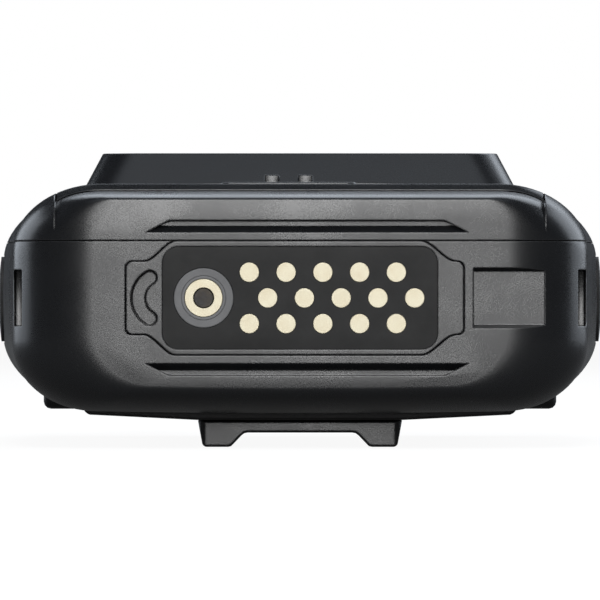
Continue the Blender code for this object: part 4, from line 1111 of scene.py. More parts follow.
# %% Hood
HOOD_EDGE = 0.12 * MM
hood = new_piece("display_hood", hood_block(0.0, CASE_TOP - 2.0 * MM, HOOD_TOP, HOOD_EDGE))
hood_foot = new_piece("foot_tool", case_form())
carve(hood_foot, ("INTERSECT", front_area(FASCIA_HALF_WIDTH, HOOD_START, FASCIA_END - FIT)))
hood_inside = HOOD_TOP - HOOD_WALL
carve(
    hood, ("UNION", hood_foot), ("UNION", hood_apron()), case_form(drop=FASCIA_THICKNESS),
    hood_block(HOOD_WALL, CASE_TOP - 4.0 * MM, hood_inside),
    plug(lens_outline(FIT), hood_inside - MM, HOOD_TOP + MM, "Z"),
)
finish(hood, case_plastic, "case", "case_plastic", "display_hood")

# %% [markdown]
# ## Metals, board, rubber and window
# The contacts are gold plate on a blasted pin, so they scatter light widely and look like pale cream. Each
# one also differs a little from the next, which a large noise over the whole dock gives. The screws and the
# microphone connector are nickel and steel. A soft-touch rubber has a high roughness and a fine bump.


# %% Metals
def plated_metal(name, colour, dull_colour, roughness, grain, depth):
    """Plating over a blasted or turned surface, dull in patches."""
    material, tree, shader = new_material(name, colour, roughness, metallic=1.0)
    fine = texture(tree, "ShaderNodeTexNoise", grain, Detail=3.0, Roughness=0.65)
    patch = texture(tree, "ShaderNodeTexNoise", 1.4 * MM, Detail=3.0, Roughness=0.6)
    share = ramp(tree, patch.outputs["Fac"], 0.0, 1.0, 0.35, 0.70)
    tree.links.new(mixed_colour(tree, share, colour, dull_colour), shader.inputs["Base Color"])
    tree.links.new(ramp(tree, fine.outputs["Fac"], roughness - 0.08, roughness + 0.10, 0.3, 0.7),
                   shader.inputs["Roughness"])
    rounded, _ = edge_share(tree, 0.05 * MM)
    bumped(tree, shader, fine.outputs["Fac"], depth, 1.0, rounded.outputs["Normal"])
    return material


def turned_metal(name, colour, roughness, pitch):
    """Turned metal: fine rings across the axis of the part, in waves along Y."""
    material, tree, shader = new_material(name, colour, roughness, metallic=1.0)
    rings = texture(tree, "ShaderNodeTexWave", pitch * 20.0, Distortion=1.5, Detail=2.0)
    rings.bands_direction = "Y"
    fine = texture(tree, "ShaderNodeTexNoise", 0.25 * MM, Detail=4.0, Roughness=0.6)
    stain = texture(tree, "ShaderNodeTexNoise", 5.0 * MM, Detail=4.0)
    dull = tuple(channel * 0.72 for channel in colour)
    share = ramp(tree, stain.outputs["Fac"], 0.0, 1.0, 0.35, 0.75)
    tree.links.new(mixed_colour(tree, share, colour, dull), shader.inputs["Base Color"])
    tree.links.new(ramp(tree, fine.outputs["Fac"], roughness - 0.06, roughness + 0.12, 0.3, 0.75),
                   shader.inputs["Roughness"])
    rounded, _ = edge_share(tree, 0.08 * MM)
    bumped(tree, shader, rings.outputs["Fac"], 0.0015 * MM, 0.6, rounded.outputs["Normal"])
    return material


print("plated_metal, turned_metal")

# %% The metals
contact_gold = plated_metal(
    "contact_gold", (0.735, 0.69, 0.545), (0.69, 0.63, 0.48), 0.60, 0.10 * MM, 0.004 * MM
)
barrel_gold = plated_metal("barrel_gold", (0.86, 0.74, 0.48), (0.62, 0.50, 0.30), 0.42, 0.15 * MM, 0.003 * MM)
core_metal = plated_metal(
    "core_metal", (0.037, 0.036, 0.036), (0.050, 0.042, 0.032), 0.45, 0.20 * MM, 0.005 * MM
)
screw_steel = turned_metal("screw_steel", (0.20, 0.20, 0.21), 0.38, 0.06 * MM)
shield_steel = turned_metal("shield_steel", (0.56, 0.56, 0.55), 0.35, 0.30 * MM)
socket_metal = turned_metal("socket_metal", (0.44, 0.44, 0.45), 0.30, 0.08 * MM)
print("metals:", ", ".join(m.name for m in (contact_gold, barrel_gold, core_metal, screw_steel)))


# %% Board
def circuit_board():
    """Solder mask over copper runs, which stand slightly proud as lighter lines."""
    material, tree, shader = new_material("circuit_board", (0.012, 0.075, 0.035), 0.38)
    runs = texture(tree, "ShaderNodeTexBrick", 1.6 * MM)
    runs.inputs["Color1"].default_value = (0.0, 0.0, 0.0, 1.0)
    runs.inputs["Color2"].default_value = (0.0, 0.0, 0.0, 1.0)
    runs.inputs["Mortar"].default_value = (1.0, 1.0, 1.0, 1.0)
    runs.inputs["Mortar Size"].default_value = 0.05
    weave = texture(tree, "ShaderNodeTexNoise", 0.4 * MM, Detail=3.0)
    tree.links.new(mixed_colour(tree, runs.outputs["Color"], (0.010, 0.062, 0.030), (0.030, 0.135, 0.060)),
                   shader.inputs["Base Color"])
    tree.links.new(ramp(tree, weave.outputs["Fac"], 0.30, 0.46, 0.3, 0.7), shader.inputs["Roughness"])
    bumped(tree, shader, runs.outputs["Color"], 0.02 * MM, 0.8)
    return material


board_mask = circuit_board()
print(f"{board_mask.name} made")


# %% Rubber
def soft_rubber(name, colour, roughness=0.72):
    """Soft-touch rubber: matt, finely pitted, with a trace of dust in its tone."""
    material, tree, shader = new_material(name, colour, roughness, specular=0.35)
    pits = texture(tree, "ShaderNodeTexVoronoi", 0.16 * MM, Randomness=1.0)
    dust = texture(tree, "ShaderNodeTexNoise", 2.5 * MM, Detail=6.0, Roughness=0.7)
    dusty = tuple(channel * 1.5 + 0.004 for channel in colour)
    share = ramp(tree, dust.outputs["Fac"], 0.0, 1.0, 0.40, 0.70)
    tree.links.new(mixed_colour(tree, share, colour, dusty), shader.inputs["Base Color"])
    tree.links.new(ramp(tree, dust.outputs["Fac"], roughness - 0.06, roughness + 0.06, 0.35, 0.65),
                   shader.inputs["Roughness"])
    rounded, _ = edge_share(tree, 0.15 * MM)
    bumped(tree, shader, pits.outputs["Distance"], 0.006 * MM, 1.0, rounded.outputs["Normal"])
    return material


print("soft_rubber")

# %% Window, display and lamp
def window_plastic():
    """The display's clear window, smoke-tinted, hard-coated and faintly rubbed."""
    material, tree, shader = new_material("window_plastic", (0.50, 0.52, 0.55), 0.06)
    shader.inputs["Transmission Weight"].default_value = 0.92
    shader.inputs["IOR"].default_value = 1.49
    rubs = texture(tree, "ShaderNodeTexNoise", 6.0 * MM, Detail=8.0, Roughness=0.75)
    tree.links.new(ramp(tree, rubs.outputs["Fac"], 0.03, 0.11, 0.40, 0.70), shader.inputs["Roughness"])
    bumped(tree, shader, rubs.outputs["Fac"], 0.003 * MM, 0.3)
    return material


def display_cells():
    """An unlit liquid-crystal panel: a fine grid of cells over a grey-green ground."""
    material, tree, shader = new_material("display_cells", (0.10, 0.12, 0.10), 0.30)
    cells = texture(tree, "ShaderNodeTexBrick", 0.40 * MM)
    cells.offset = 0.0
    cells.inputs["Mortar Size"].default_value = 0.03
    cells.inputs["Brick Width"].default_value = 0.5
    cells.inputs["Row Height"].default_value = 0.5
    cells.inputs["Color1"].default_value = (0.085, 0.105, 0.085, 1.0)
    cells.inputs["Color2"].default_value = (0.095, 0.115, 0.092, 1.0)
    cells.inputs["Mortar"].default_value = (0.13, 0.15, 0.12, 1.0)
    haze = texture(tree, "ShaderNodeTexNoise", 8.0 * MM, Detail=3.0)
    tree.links.new(cells.outputs["Color"], shader.inputs["Base Color"])
    tree.links.new(ramp(tree, haze.outputs["Fac"], 0.24, 0.36, 0.3, 0.7), shader.inputs["Roughness"])
    return material


def lamp_plastic():
    """The status light's diffuser, unlit: milky, with a slight green body."""
    material, tree, shader = new_material("lamp_plastic", (0.30, 0.46, 0.33), 0.28)
    shader.inputs["Subsurface Weight"].default_value = 0.3
    shader.inputs["Subsurface Radius"].default_value = (0.0004, 0.0006, 0.0004)
    milk = texture(tree, "ShaderNodeTexNoise", 0.5 * MM, Detail=4.0)
    tree.links.new(mixed_colour(tree, milk.outputs["Fac"], (0.26, 0.42, 0.30), (0.36, 0.52, 0.38)),
                   shader.inputs["Base Color"])
    bumped(tree, shader, milk.outputs["Fac"], 0.004 * MM, 0.6)
    return material


key_rubber = soft_rubber("key_rubber", (0.022, 0.022, 0.023))
grip_rubber = soft_rubber("grip_rubber", (0.012, 0.012, 0.0125), 0.66)
window = window_plastic()
cells = display_cells()
lamp = lamp_plastic()
print("metals and soft finishes made")

# %% [markdown]
# ## The dock
# The contact frame is moulded apart from the shell and pressed into its window. A plate with fifteen round
# pins sits inside it, and a coaxial contact for the radio signal at the left. Each pin is a profile turned
# about its own axis, so its rim has a true small chamfer. The slot round the coaxial contact is a kidney:
# an arc with round caps. The frame's front rims are bevelled, as all moulded rims are.

# %% Frame sizes
PLATE_HALF = (13.77 * MM, 5.15 * MM)
PLATE_CORNER = 1.65 * MM
PLATE_EDGE = 0.05 * MM
COAX_X = -9.64 * MM
KIDNEY_X = -13.8 * MM
KIDNEY_RADII = (1.60 * MM, 3.16 * MM)
KIDNEY_HALF_ANGLE = 59.0
KIDNEY_DEPTH = 1.6 * MM
KIDNEY_DRAFT = 0.16 * MM
FRAME_EDGE = 0.10 * MM
print(f"plate {2 * PLATE_HALF[0] / MM:.2f} mm wide")


# %% Plate and kidney outlines
def plate_outline(grow=0.0):
    """The contact plate, a rectangle with rounded corners."""
    return rounded_rectangle((0.0, DOCK_Z), [size + grow for size in PLATE_HALF], PLATE_CORNER + grow, 12)


def kidney_outline(grow=0.0):
    """The kidney slot: two arcs about one centre, joined by round caps."""
    inner, outer = KIDNEY_RADII[0] - grow, KIDNEY_RADII[1] + grow
    middle, cap = (inner + outer) / 2, (outer - inner) / 2
    centre = (KIDNEY_X, DOCK_Z)
    start, end = 180.0 - KIDNEY_HALF_ANGLE, 180.0 + KIDNEY_HALF_ANGLE
    points = arc(centre, (outer, outer), start, end, 24)
    for turn, sweep in ((end, 1), (start, -1)):
        angle = math.radians(turn)
        tip = (KIDNEY_X + middle * math.cos(angle), DOCK_Z + middle * math.sin(angle))
        if sweep > 0:
            points += arc(tip, (cap, cap), turn, turn + 180.0, 12)[1:-1]
            points += arc(centre, (inner, inner), end, start, 24)
        else:
            points += arc(tip, (cap, cap), turn - 180.0, turn, 12)[1:-1]
    return points


def kidney_well():
    """The kidney slot, whose walls lean inwards as it gets deeper."""
    steps = ((-BEYOND, 0.0), (0.0, 0.0), (KIDNEY_DEPTH, -KIDNEY_DRAFT))
    return bridged([
        [(across, place_y(length), up) for across, up in kidney_outline(grow)] for length, grow in steps
    ])


print(f"kidney of {len(kidney_outline())} points")

# %% Frame
dock_frame = new_piece("dock_frame", plug(frame_outline(), frame_low.y, frame_high.y, edge=FRAME_EDGE))
plate_window = plug(plate_outline(PRESS_FIT / 2), place_y(-BEYOND), place_y(BEYOND))
carve(dock_frame, plate_window, kidney_well(), sharp=FLAT_FACES)
finish(dock_frame, frame_plastic, "case", "dock_frame_plastic", "dock_frame")

# %% Contact plate
CONTACT_RADIUS = 0.985 * MM
CONTACT_CLEARANCE = 0.02 * MM
CONTACT_CHAMFER = 0.04 * MM
COAX_RADIUS = 3.0 * MM
contact_names = [f"dock_contact_{number:02d}" for number in range(1, 16)]


def middle_of(node):
    """The middle of a design node's box."""
    low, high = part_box(node)
    return (low + high) / 2


contact_centres = [middle_of(name) for name in contact_names]
contact_low, contact_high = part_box(contact_names[0])
flange = plate_high.y - 1.2 * MM
insert = new_piece(
    "dock_insert", plug(plate_outline(-PRESS_FIT / 2), plate_low.y, flange + FIT, edge=PLATE_EDGE)
)
back = block((plate_low.x, flange, plate_low.z), (plate_high.x, plate_high.y, plate_high.z), 0.2 * MM)
pin_holes = [
    plug(
        circle((centre.x, centre.z), CONTACT_RADIUS + CONTACT_CLEARANCE, 40),
        place_y(-BEYOND), place_y(BEYOND),
    )
    for centre in contact_centres
]
coax_hole = plug(circle((COAX_X, DOCK_Z), COAX_RADIUS + PRESS_FIT, 96), place_y(-BEYOND), place_y(BEYOND))
carve(insert, ("UNION", back), together(*pin_holes, coax_hole))
finish(insert, plate_plastic, "case", "contact_plate", "dock_insert")

# %% Contact pins
for name, centre in zip(contact_names, contact_centres):
    rim = CONTACT_RADIUS - CONTACT_CHAMFER
    profile = [
        (0.0, 0.0), (rim, 0.0), (CONTACT_RADIUS - 0.02 * MM, 0.02 * MM), (CONTACT_RADIUS, CONTACT_CHAMFER),
        (CONTACT_RADIUS, contact_high.y - contact_low.y), (0.0, contact_high.y - contact_low.y),
    ]
    pin = new_piece(name, spun(profile, (centre.x, contact_low.y, centre.z), 40))
    finish(crisp(pin), contact_gold, "case", "contact_gold", name)

# %% [markdown]
# ## The coaxial contact
# Three parts share one axis: a plastic ring, a gold barrel inside it and a dark spring core. The ring is in
# two steps, with a fine line between them where an inner sleeve was pressed in. All are turned profiles.

# %% Coaxial contact
BARREL_RADII = (1.03 * MM, 1.91 * MM)
SLEEVE_RADIUS = 2.22 * MM
LINE_WIDTH = 0.06 * MM
COAX_LENGTH = 6.6 * MM
CORE_RADIUS = 1.00 * MM
CORE_SETBACK = 0.15 * MM
CORE_CHAMFER = 0.06 * MM
coax_place = (COAX_X, DOCK_Y, DOCK_Z)
inner, outer = BARREL_RADII[1] + PRESS_FIT, COAX_RADIUS - PRESS_FIT
ring_profile = [
    (inner, 0.06 * MM), (inner + 0.04 * MM, 0.02 * MM), (SLEEVE_RADIUS - LINE_WIDTH / 2, 0.02 * MM),
    (SLEEVE_RADIUS, 0.12 * MM), (SLEEVE_RADIUS + LINE_WIDTH / 2, 0.03 * MM), (outer - 0.08 * MM, 0.02 * MM),
    (outer, 0.06 * MM), (outer, COAX_LENGTH), (inner, COAX_LENGTH),
]
coax_ring = new_piece("coax_insulator", spun(ring_profile, coax_place, 96))
finish(crisp(coax_ring), coax_plastic, "case", "coax_plastic", "coax_insulator")
inner, outer = BARREL_RADII
barrel_profile = [
    (inner, 0.04 * MM), (inner + 0.04 * MM, 0.0), (outer - 0.05 * MM, 0.0), (outer, 0.05 * MM),
    (outer, COAX_LENGTH), (inner, COAX_LENGTH),
]
barrel = new_piece("coax_barrel", spun(barrel_profile, coax_place, 96))
finish(crisp(barrel), contact_gold, "case", "contact_gold", "coax_barrel")
core_profile = [
    (0.0, CORE_SETBACK), (CORE_RADIUS - CORE_CHAMFER, CORE_SETBACK),
    (CORE_RADIUS, CORE_SETBACK + CORE_CHAMFER), (CORE_RADIUS, COAX_LENGTH), (0.0, COAX_LENGTH),
]
core = new_piece("coax_core", spun(core_profile, coax_place, 48))
finish(crisp(core), core_metal, "case", "core_metal", "coax_core")

# %% [markdown]
# ## Battery, clip rail and latch
# The battery fills a bay in the back and is lifted out downwards. Its cover is nearly flat and rises a
# little towards its sides. Two blank shallow fields show where a maker would put a rating plate, and the
# ribs near the latch give a thumb its grip. The clip rail is screwed to it: two feet with a dovetail channel
# between them. In plan its corners are rounded, so light falls off round them at each side of its end.

# %% Battery
BATTERY_EDGE_RISE = 0.5 * MM
RAIL_TOP_HALF = 10.35 * MM
RAIL_SCREW_LENGTHS = (22.0 * MM, 48.0 * MM)
RAIL_SCREW_DEPTH = 7.75 * MM
TERMINAL_RECESS_Z = 8.9 * MM
FIELD_DEPTH = 0.15 * MM
FIELD_X = 16.0 * MM
FIELD_HALF_WIDTH = 3.6 * MM
FIELD_LENGTHS = (22.0 * MM, 56.0 * MM)
RIB_START = 66.0 * MM
RIB_PITCH = 2.4 * MM
RIB_HALF = (9.0 * MM, 0.6 * MM)
RIB_DEPTH = 0.45 * MM
battery_half = battery_high.x
edge_z = battery_low.z + BATTERY_EDGE_RISE
cover = [(RAIL_TOP_HALF, battery_low.z), (battery_half - 1.5 * MM, edge_z)]
cover += arc((battery_half - 1.0 * MM, edge_z + 1.0 * MM), (1.0 * MM, 1.0 * MM), -75.0, 0.0, 8)
cover += [(battery_half, battery_high.z)]
cover += [(-across, up) for across, up in reversed(cover)]
battery = new_piece("battery_pack", plug(cover, battery_low.y, battery_high.y, edge=0.25 * MM))
recess = slab(
    TERMINAL_HALF[0], TERMINAL_Y - TERMINAL_HALF[1], TERMINAL_Y + TERMINAL_HALF[1],
    TERMINAL_RECESS_Z, battery_high.z + MM,
)
rail_screws = [(0.0, place_y(length)) for length in RAIL_SCREW_LENGTHS]
shank_holes = [
    plug(circle(place, SCREW_RADIUS + FIT, 24), battery_low.z - MM, RAIL_SCREW_DEPTH, "Z")
    for place in rail_screws
]
fields = [
    block(
        (side * FIELD_X - FIELD_HALF_WIDTH, place_y(FIELD_LENGTHS[0]), battery_low.z - MM),
        (side * FIELD_X + FIELD_HALF_WIDTH, place_y(FIELD_LENGTHS[1]), edge_z - 0.1 * MM + FIELD_DEPTH),
        0.1 * MM,
    )
    for side in (-1, 1)
]
ribs = [
    plug(
        rounded_rectangle((0.0, place_y(RIB_START + RIB_PITCH * number)), RIB_HALF, 0.55 * MM, 6),
        battery_low.z - MM, battery_low.z + RIB_DEPTH, "Z",
    )
    for number in range(6)
]
carve(battery, recess, together(*shank_holes), together(*fields), together(*ribs))
finish(battery, battery_plastic, "battery", "battery_plastic", "battery_pack")

# %% Clip rail
RAIL_FOOT_HALF = 9.95 * MM
RAIL_FOOT_EDGE = 0.5 * MM
RAIL_END_EDGE = 0.22 * MM
CHANNEL_CORNER = 0.45 * MM
CHANNEL_MOUTH = 7.05 * MM
CHANNEL_ROOF = 5.75 * MM
CHANNEL_HEIGHT = 1.45 * MM
RAIL_CORNER = 0.9 * MM
rail_low, rail_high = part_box("clip_rail")
half_profile = [
    (CHANNEL_ROOF - CHANNEL_CORNER, CHANNEL_HEIGHT), (CHANNEL_ROOF - 0.1 * MM, CHANNEL_HEIGHT - 0.07 * MM),
    (CHANNEL_ROOF + 0.2 * MM, CHANNEL_HEIGHT - 0.3 * MM), (CHANNEL_MOUTH - 0.25 * MM, 0.26 * MM),
    (CHANNEL_MOUTH - 0.05 * MM, 0.07 * MM), (CHANNEL_MOUTH + 0.25 * MM, 0.0),
]
half_profile += arc(
    (RAIL_FOOT_HALF - RAIL_FOOT_EDGE, RAIL_FOOT_EDGE), (RAIL_FOOT_EDGE, RAIL_FOOT_EDGE), -90.0, 0.0, 6
)
half_profile += [(RAIL_TOP_HALF, rail_high.z)]
profile = half_profile + [(-across, up) for across, up in reversed(half_profile)]
rail = new_piece("clip_rail", plug(profile, rail_low.y, rail_high.y, edge=RAIL_END_EDGE))
plan_half = (RAIL_TOP_HALF + 0.02 * MM, (rail_high.y - rail_low.y) / 2)
plan = rounded_rectangle((0.0, (rail_low.y + rail_high.y) / 2), plan_half, RAIL_CORNER, 10)
head_holes = [
    plug(circle(place, SCREW_HEAD_RADIUS + FIT), -MM, CHANNEL_HEIGHT + 0.8 * MM, "Z") for place in rail_screws
]
shank_holes = [plug(circle(place, SCREW_RADIUS + FIT, 24), MM, BEYOND, "Z") for place in rail_screws]
carve(
    rail, ("INTERSECT", plug(plan, -MM, BEYOND, "Z")), together(*head_holes), together(*shank_holes),
    sharp=FLAT_FACES,
)
finish(rail, frame_plastic, "battery", "dock_frame_plastic", "clip_rail")

# %% Battery latch
LATCH_RIBS = 5
latch = new_piece("battery_latch", block(latch_low, latch_high, 0.25 * MM))
thumb_ribs = [
    slab(
        6.4 * MM, latch_low.y - DOCK_Y + (1.1 + 1.1 * number) * MM,
        latch_low.y - DOCK_Y + (1.6 + 1.1 * number) * MM, latch_low.z - MM, latch_low.z + 0.35 * MM, 0.1 * MM,
    )
    for number in range(LATCH_RIBS)
]
carve(latch, together(*thumb_ribs))
finish(latch, battery_plastic, "battery_latch", "battery_plastic", "battery_latch")

# %% [markdown]
# ## Screws
# A pan-head screw that points up: a low domed head with a hexagon socket, and a threaded shank. The thread
# is a row of ridges in the turned profile, which at this size looks the same as a helix and stays light.

# %% Screws
HEAD_HEIGHT = 0.8 * MM
HEX_RADIUS = 0.85 * MM
HEX_DEPTH = 0.5 * MM
THREAD_PITCH = 0.45 * MM
THREAD_DEPTH = 0.10 * MM
screw_bodies = {f"case_screw_{number}": "case" for number in range(1, 5)}
screw_bodies |= {f"rail_screw_{number}": "battery" for number in range(1, 3)}


def screw(name):
    """A screw whose head is below and whose tip is above, in the box of its design node."""
    low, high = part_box(name)
    middle = (low + high) / 2
    head, seat = low.z, low.z + HEAD_HEIGHT
    profile = [(0.0, head), (SCREW_HEAD_RADIUS - 0.35 * MM, head)]
    profile += [
        (SCREW_HEAD_RADIUS - 0.35 * MM * (1.0 - math.sin(step * math.pi / 12)),
         head + 0.35 * MM * (1.0 - math.cos(step * math.pi / 12)))
        for step in range(1, 7)
    ]
    profile += [(SCREW_HEAD_RADIUS, seat), (SCREW_RADIUS, seat)]
    turns = int((high.z - seat - 0.4 * MM) / THREAD_PITCH)
    for turn in range(turns):
        start = seat + 0.2 * MM + turn * THREAD_PITCH
        profile += [(SCREW_RADIUS, start), (SCREW_RADIUS - THREAD_DEPTH, start + THREAD_PITCH / 2)]
    profile += [(SCREW_RADIUS, high.z - 0.2 * MM), (SCREW_RADIUS - 0.15 * MM, high.z), (0.0, high.z)]
    made = new_piece(name, spun(profile, (middle.x, middle.y, 0.0), 32, "Z"))
    socket = plug(circle((middle.x, middle.y), HEX_RADIUS, 6), head - MM, head + HEX_DEPTH, "Z")
    carve(made, socket)
    return finish(made, screw_steel, screw_bodies[name], "screw_steel", name)


for name in screw_bodies:
    screw(name)

# %% [markdown]
# ## Controls on the front
# The function key carries two ridges, which stand above the front and show in the end view. The three menu
# keys are rubber, a little domed by their rounded rims. All keys are plugs with real rounded tops.

# %% Keys
RIDGE_HALF = (0.78 * MM, 2.5 * MM)
RIDGE_PITCH = 3.4 * MM
RIDGE_EDGE = 0.14 * MM
KEY_EDGE = 0.2 * MM
key_low, key_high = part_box("function_key")
KEY_FACE = CASE_TOP + 0.2 * MM
key_middle = (FUNCTION_KEY_X, place_y(FUNCTION_KEY_START + FUNCTION_KEY_HALF[1]))
key_outline = rounded_rectangle(key_middle, FUNCTION_KEY_HALF, 0.9 * MM)
function_key = new_piece("function_key", plug(key_outline, key_low.z, KEY_FACE, "Z", KEY_EDGE))
ridges = []
for side in (-1, 1):
    across, along = key_middle[0] + side * RIDGE_PITCH / 2, key_middle[1]
    ridges.append(block(
        (across - RIDGE_HALF[0], along - RIDGE_HALF[1], KEY_FACE - 0.5 * MM),
        (across + RIDGE_HALF[0], along + RIDGE_HALF[1], key_high.z), RIDGE_EDGE, 3,
    ))
carve(function_key, ("UNION", together(*ridges)))
finish(function_key, case_plastic, "function_key", "case_plastic", "function_key")

for step, name in ((-1, "key_down"), (0, "key_set"), (1, "key_up")):
    low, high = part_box(name)
    middle = (step * MENU_KEY_PITCH, place_y(MENU_KEY_LENGTH))
    outline = rounded_rectangle(middle, MENU_KEY_HALF, 1.1 * MM, 12)
    key = new_piece(name, plug(outline, low.z, high.z, "Z", 0.32 * MM, 5))
    dish = spun(
        [(0.0, high.z - 0.10 * MM), (1.6 * MM, high.z), (1.6 * MM, high.z + MM), (0.0, high.z + MM)],
        (*middle, 0.0), 48, "Z",
    )
    carve(key, dish)
    finish(key, key_rubber, name, "rubber", name)

# %% Side buttons
SIDE_BUTTON_PROUD = 0.24 * MM
GRIP_RIBS = 7
GRIP_RIB_PITCH = 2.6 * MM
for side, name in ((-1, "side_button_left"), (1, "side_button_right")):
    low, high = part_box(name)
    inner = low.x if side > 0 else high.x
    start, end = sorted((inner, inner + side * BEYOND))
    button = new_piece(name, plug(grip_outline(), start, end, "X"))
    carve(button, ("INTERSECT", case_form(widen=SIDE_BUTTON_PROUD)))
    valleys = []
    for number in range(GRIP_RIBS):
        along = place_y(GRIP_CENTRE) + (number - (GRIP_RIBS - 1) / 2) * GRIP_RIB_PITCH
        across = side * (CASE_HALF_WIDTH + FLARE + GRIP_BULGE + SIDE_BUTTON_PROUD + 0.15 * MM)
        valleys.append(plug(circle((across, along), 0.6 * MM, 24), GRIP_Z - 3.0 * MM, GRIP_Z + 3.0 * MM, "Z"))
    carve(button, together(*valleys))
    finish(button, grip_rubber, name, "rubber", name)

# %% [markdown]
# ## Display and light
# The window is a clear plate set in the hood, and the panel lies under it. The status light is a low domed
# lens. They could stay plain boxes, but a window without a rounded rim shows no edge highlight at all.

# %% Display
lens_low, lens_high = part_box("display_lens")
lens = new_piece("display_lens", plug(lens_outline(), lens_low.z, lens_high.z, "Z", 0.15 * MM))
finish(lens, window, "case", "lens", "display_lens")
panel_low, panel_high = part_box("display_panel")
panel = new_piece("display_panel", block(panel_low, panel_high, 0.15 * MM))
finish(panel, cells, "case", "panel", "display_panel")

# %% Status light
LAMP_DOME = 0.2 * MM


def domed(radius, top, depth, steps, first=1):
    """The points of a turned profile that round a rod over towards its axis."""
    turns = [math.pi / 2 * step / steps for step in range(first, steps)]
    return [(radius * math.cos(turn), top - depth * (1.0 - math.sin(turn))) for turn in turns]


lamp_low, lamp_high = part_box("status_light")
lamp_profile = [(0.0, lamp_low.z), (LIGHT_RADIUS, lamp_low.z), (LIGHT_RADIUS, lamp_high.z - LAMP_DOME)]
lamp_profile += domed(LIGHT_RADIUS, lamp_high.z, LAMP_DOME, 8) + [(0.0, lamp_high.z)]
status_light = new_piece("status_light", spun(lamp_profile, (*light_place, 0.0), 48, "Z"))
finish(status_light, lamp, "case", "light", "status_light")

# %% [markdown]
# ## The top end
# The antenna is a rubber-sleeved whip with a ribbed collar, screwed on a metal socket. The microphone
# connector is a metal tube with a knurled locking ring. Knurls are small flutes cut into the ring's rim, so
# they catch light as real ones do. The power switch is a ribbed slider.

# %% Antenna
ANTENNA_RADIUS = 4.4 * MM
ANTENNA_TIP_RADIUS = 3.4 * MM
COLLAR_LENGTH = 6.0 * MM
COLLAR_EDGE = 0.3 * MM
COLLAR_FLARE = 0.45 * MM
antenna_low, antenna_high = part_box("antenna")
socket_low, socket_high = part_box("antenna_socket")
antenna_length = antenna_high.y - antenna_low.y
whip = [(0.0, 0.0), (ANTENNA_RADIUS - 0.3 * MM, 0.0), (ANTENNA_RADIUS, 0.3 * MM)]
for number in range(4):
    start = (1.2 + 1.1 * number) * MM
    whip += [
        (ANTENNA_RADIUS, start), (ANTENNA_RADIUS - 0.25 * MM, start + 0.2 * MM),
        (ANTENNA_RADIUS - 0.25 * MM, start + 0.45 * MM), (ANTENNA_RADIUS, start + 0.65 * MM),
    ]
for step in range(5):
    turn = step * math.pi / 8
    inwards, back = COLLAR_EDGE * (1.0 - math.cos(turn)), COLLAR_EDGE * (1.0 - math.sin(turn))
    whip.append((ANTENNA_RADIUS - inwards, COLLAR_LENGTH - back))
whip += [
    (
        ANTENNA_TIP_RADIUS + COLLAR_FLARE * (1.0 - share / 8) ** 2,
        COLLAR_LENGTH + 1.5 * MM * share / 8 + 0.05 * MM,
    )
    for share in range(9)
]
whip += domed(ANTENNA_TIP_RADIUS, antenna_length, ANTENNA_TIP_RADIUS, 16, first=0)
whip.append((0.0, antenna_length))
antenna = new_piece("antenna", spun(whip, (ANTENNA_X, antenna_low.y, FITTING_Z), 64))
finish(antenna, key_rubber, "antenna", "rubber", "antenna")
thread = [(0.0, 0.0), (SOCKET_RADIUS, 0.0)]
rod_length = socket_high.y - socket_low.y
for turn in range(6):
    start = 2.2 * MM + turn * 0.35 * MM
    thread += [(SOCKET_RADIUS, start), (SOCKET_RADIUS - 0.12 * MM, start + 0.17 * MM)]
thread += [(SOCKET_RADIUS, rod_length - 0.2 * MM), (SOCKET_RADIUS - 0.2 * MM, rod_length), (0.0, rod_length)]
socket = new_piece("antenna_socket", spun(thread, (ANTENNA_X, socket_low.y, FITTING_Z), 64))
finish(socket, barrel_gold, "case", "contact_gold", "antenna_socket")

# %% Microphone connector
MIC_BORE = 4.4 * MM
RING_RADIUS = 7.0 * MM
RING_LENGTH = 3.2 * MM
KNURLS = 36
mic_low, mic_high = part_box("mic_socket")
ring_low, ring_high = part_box("mic_ring")
mic_depth = mic_high.y - mic_low.y
tube = [
    (0.0, 0.0), (MIC_SHELL_RADIUS, 0.0), (MIC_SHELL_RADIUS, mic_depth - 0.25 * MM),
    (MIC_SHELL_RADIUS - 0.25 * MM, mic_depth), (MIC_BORE + 0.2 * MM, mic_depth),
    (MIC_BORE, mic_depth - 0.2 * MM), (MIC_BORE, 1.5 * MM), (0.0, 1.5 * MM),
]
mic_socket = new_piece("mic_socket", spun(tube, (MIC_X, mic_low.y, FITTING_Z), 96))
finish(mic_socket, socket_metal, "case", "socket_metal", "mic_socket")
inner = MIC_SHELL_RADIUS + FIT
collar = [
    (inner, 0.15 * MM), (inner + 0.15 * MM, 0.0), (RING_RADIUS - 0.3 * MM, 0.0), (RING_RADIUS, 0.3 * MM),
    (RING_RADIUS, RING_LENGTH - 0.3 * MM), (RING_RADIUS - 0.3 * MM, RING_LENGTH),
    (inner + 0.15 * MM, RING_LENGTH), (inner, RING_LENGTH - 0.15 * MM),
]
mic_ring = new_piece("mic_ring", spun(collar, (MIC_X, ring_low.y, FITTING_Z), 144))
flutes = []
for number in range(KNURLS):
    angle = math.tau * number / KNURLS
    reach = RING_RADIUS + 0.12 * MM
    centre = (MIC_X + reach * math.cos(angle), FITTING_Z + reach * math.sin(angle))
    flutes.append(plug(circle(centre, 0.32 * MM, 12), ring_low.y - MM, ring_high.y + MM))
carve(mic_ring, together(*flutes))
finish(mic_ring, socket_metal, "mic_ring", "socket_metal", "mic_ring")

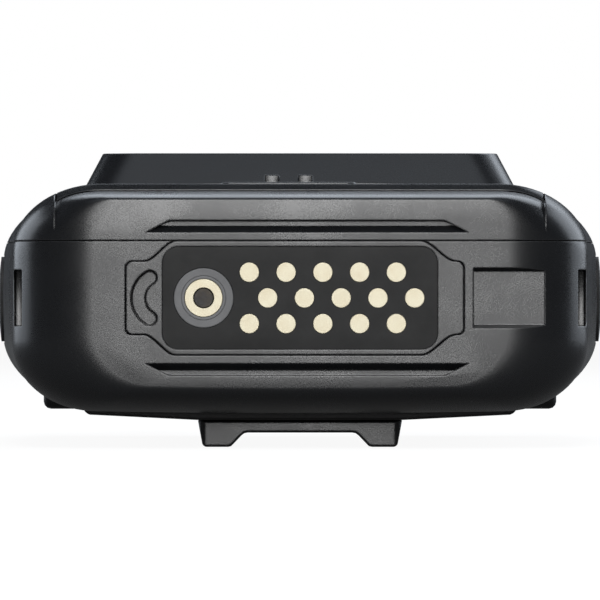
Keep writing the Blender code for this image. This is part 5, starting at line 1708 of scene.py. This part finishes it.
# %% Microphone pins
PIN_RADIUS = 0.5 * MM
PIN_DOME = 0.3 * MM
insert_low, insert_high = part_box("mic_insert")
pin_names = [f"mic_pin_{number}" for number in (1, 2, 3)]
pin_places = [middle_of(name) for name in pin_names]
mic_insert = new_piece(
    "mic_insert",
    plug(circle((MIC_X, FITTING_Z), insert_high.x - MIC_X, 96), insert_low.y, insert_high.y, edge=0.12 * MM),
)
pin_holes = [
    plug(circle((place.x, place.z), PIN_RADIUS + 0.1 * MM, 24), insert_low.y - MM, insert_high.y + MM)
    for place in pin_places
]
carve(mic_insert, together(*pin_holes))
finish(mic_insert, coax_plastic, "case", "dock_frame_plastic", "mic_insert")
for name, place in zip(pin_names, pin_places):
    low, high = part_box(name)
    length = high.y - low.y
    profile = [(0.0, 0.0), (PIN_RADIUS, 0.0), (PIN_RADIUS, length - PIN_DOME)]
    profile += domed(PIN_RADIUS, length, PIN_DOME, 4) + [(0.0, length)]
    pin = new_piece(name, spun(profile, (place.x, low.y, place.z), 32))
    finish(pin, barrel_gold, "case", "contact_gold", name)

# %% Power switch
switch_low, switch_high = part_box("power_switch")
power_switch = new_piece("power_switch", block(switch_low, switch_high, 0.2 * MM))
ribs = [
    block(
        (switch_low.x + (0.55 + 0.8 * number) * MM, switch_high.y - 0.3 * MM, switch_low.z - MM),
        (switch_low.x + (0.95 + 0.8 * number) * MM, switch_high.y + MM, switch_high.z + MM), 0.08 * MM,
    )
    for number in range(4)
]
carve(power_switch, together(*ribs))
finish(power_switch, key_rubber, "power_switch", "rubber", "power_switch")

# %% [markdown]
# ## What stays from the design
# The boards, the shield, the seal and the battery's terminal are plain stamped or cut parts whose shape in
# the design is already right, so their nodes stay and only take a material.

# %% Materials for the design's own pieces
kept = {
    "main_board": board_mask, "dock_board": board_mask, "rf_shield": shield_steel, "shell_seal": key_rubber,
    "battery_terminal": barrel_gold,
}
for name, material in kept.items():
    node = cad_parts[name]
    node.data.materials.clear()
    node.data.materials.append(material)
print("kept:", ", ".join(kept))
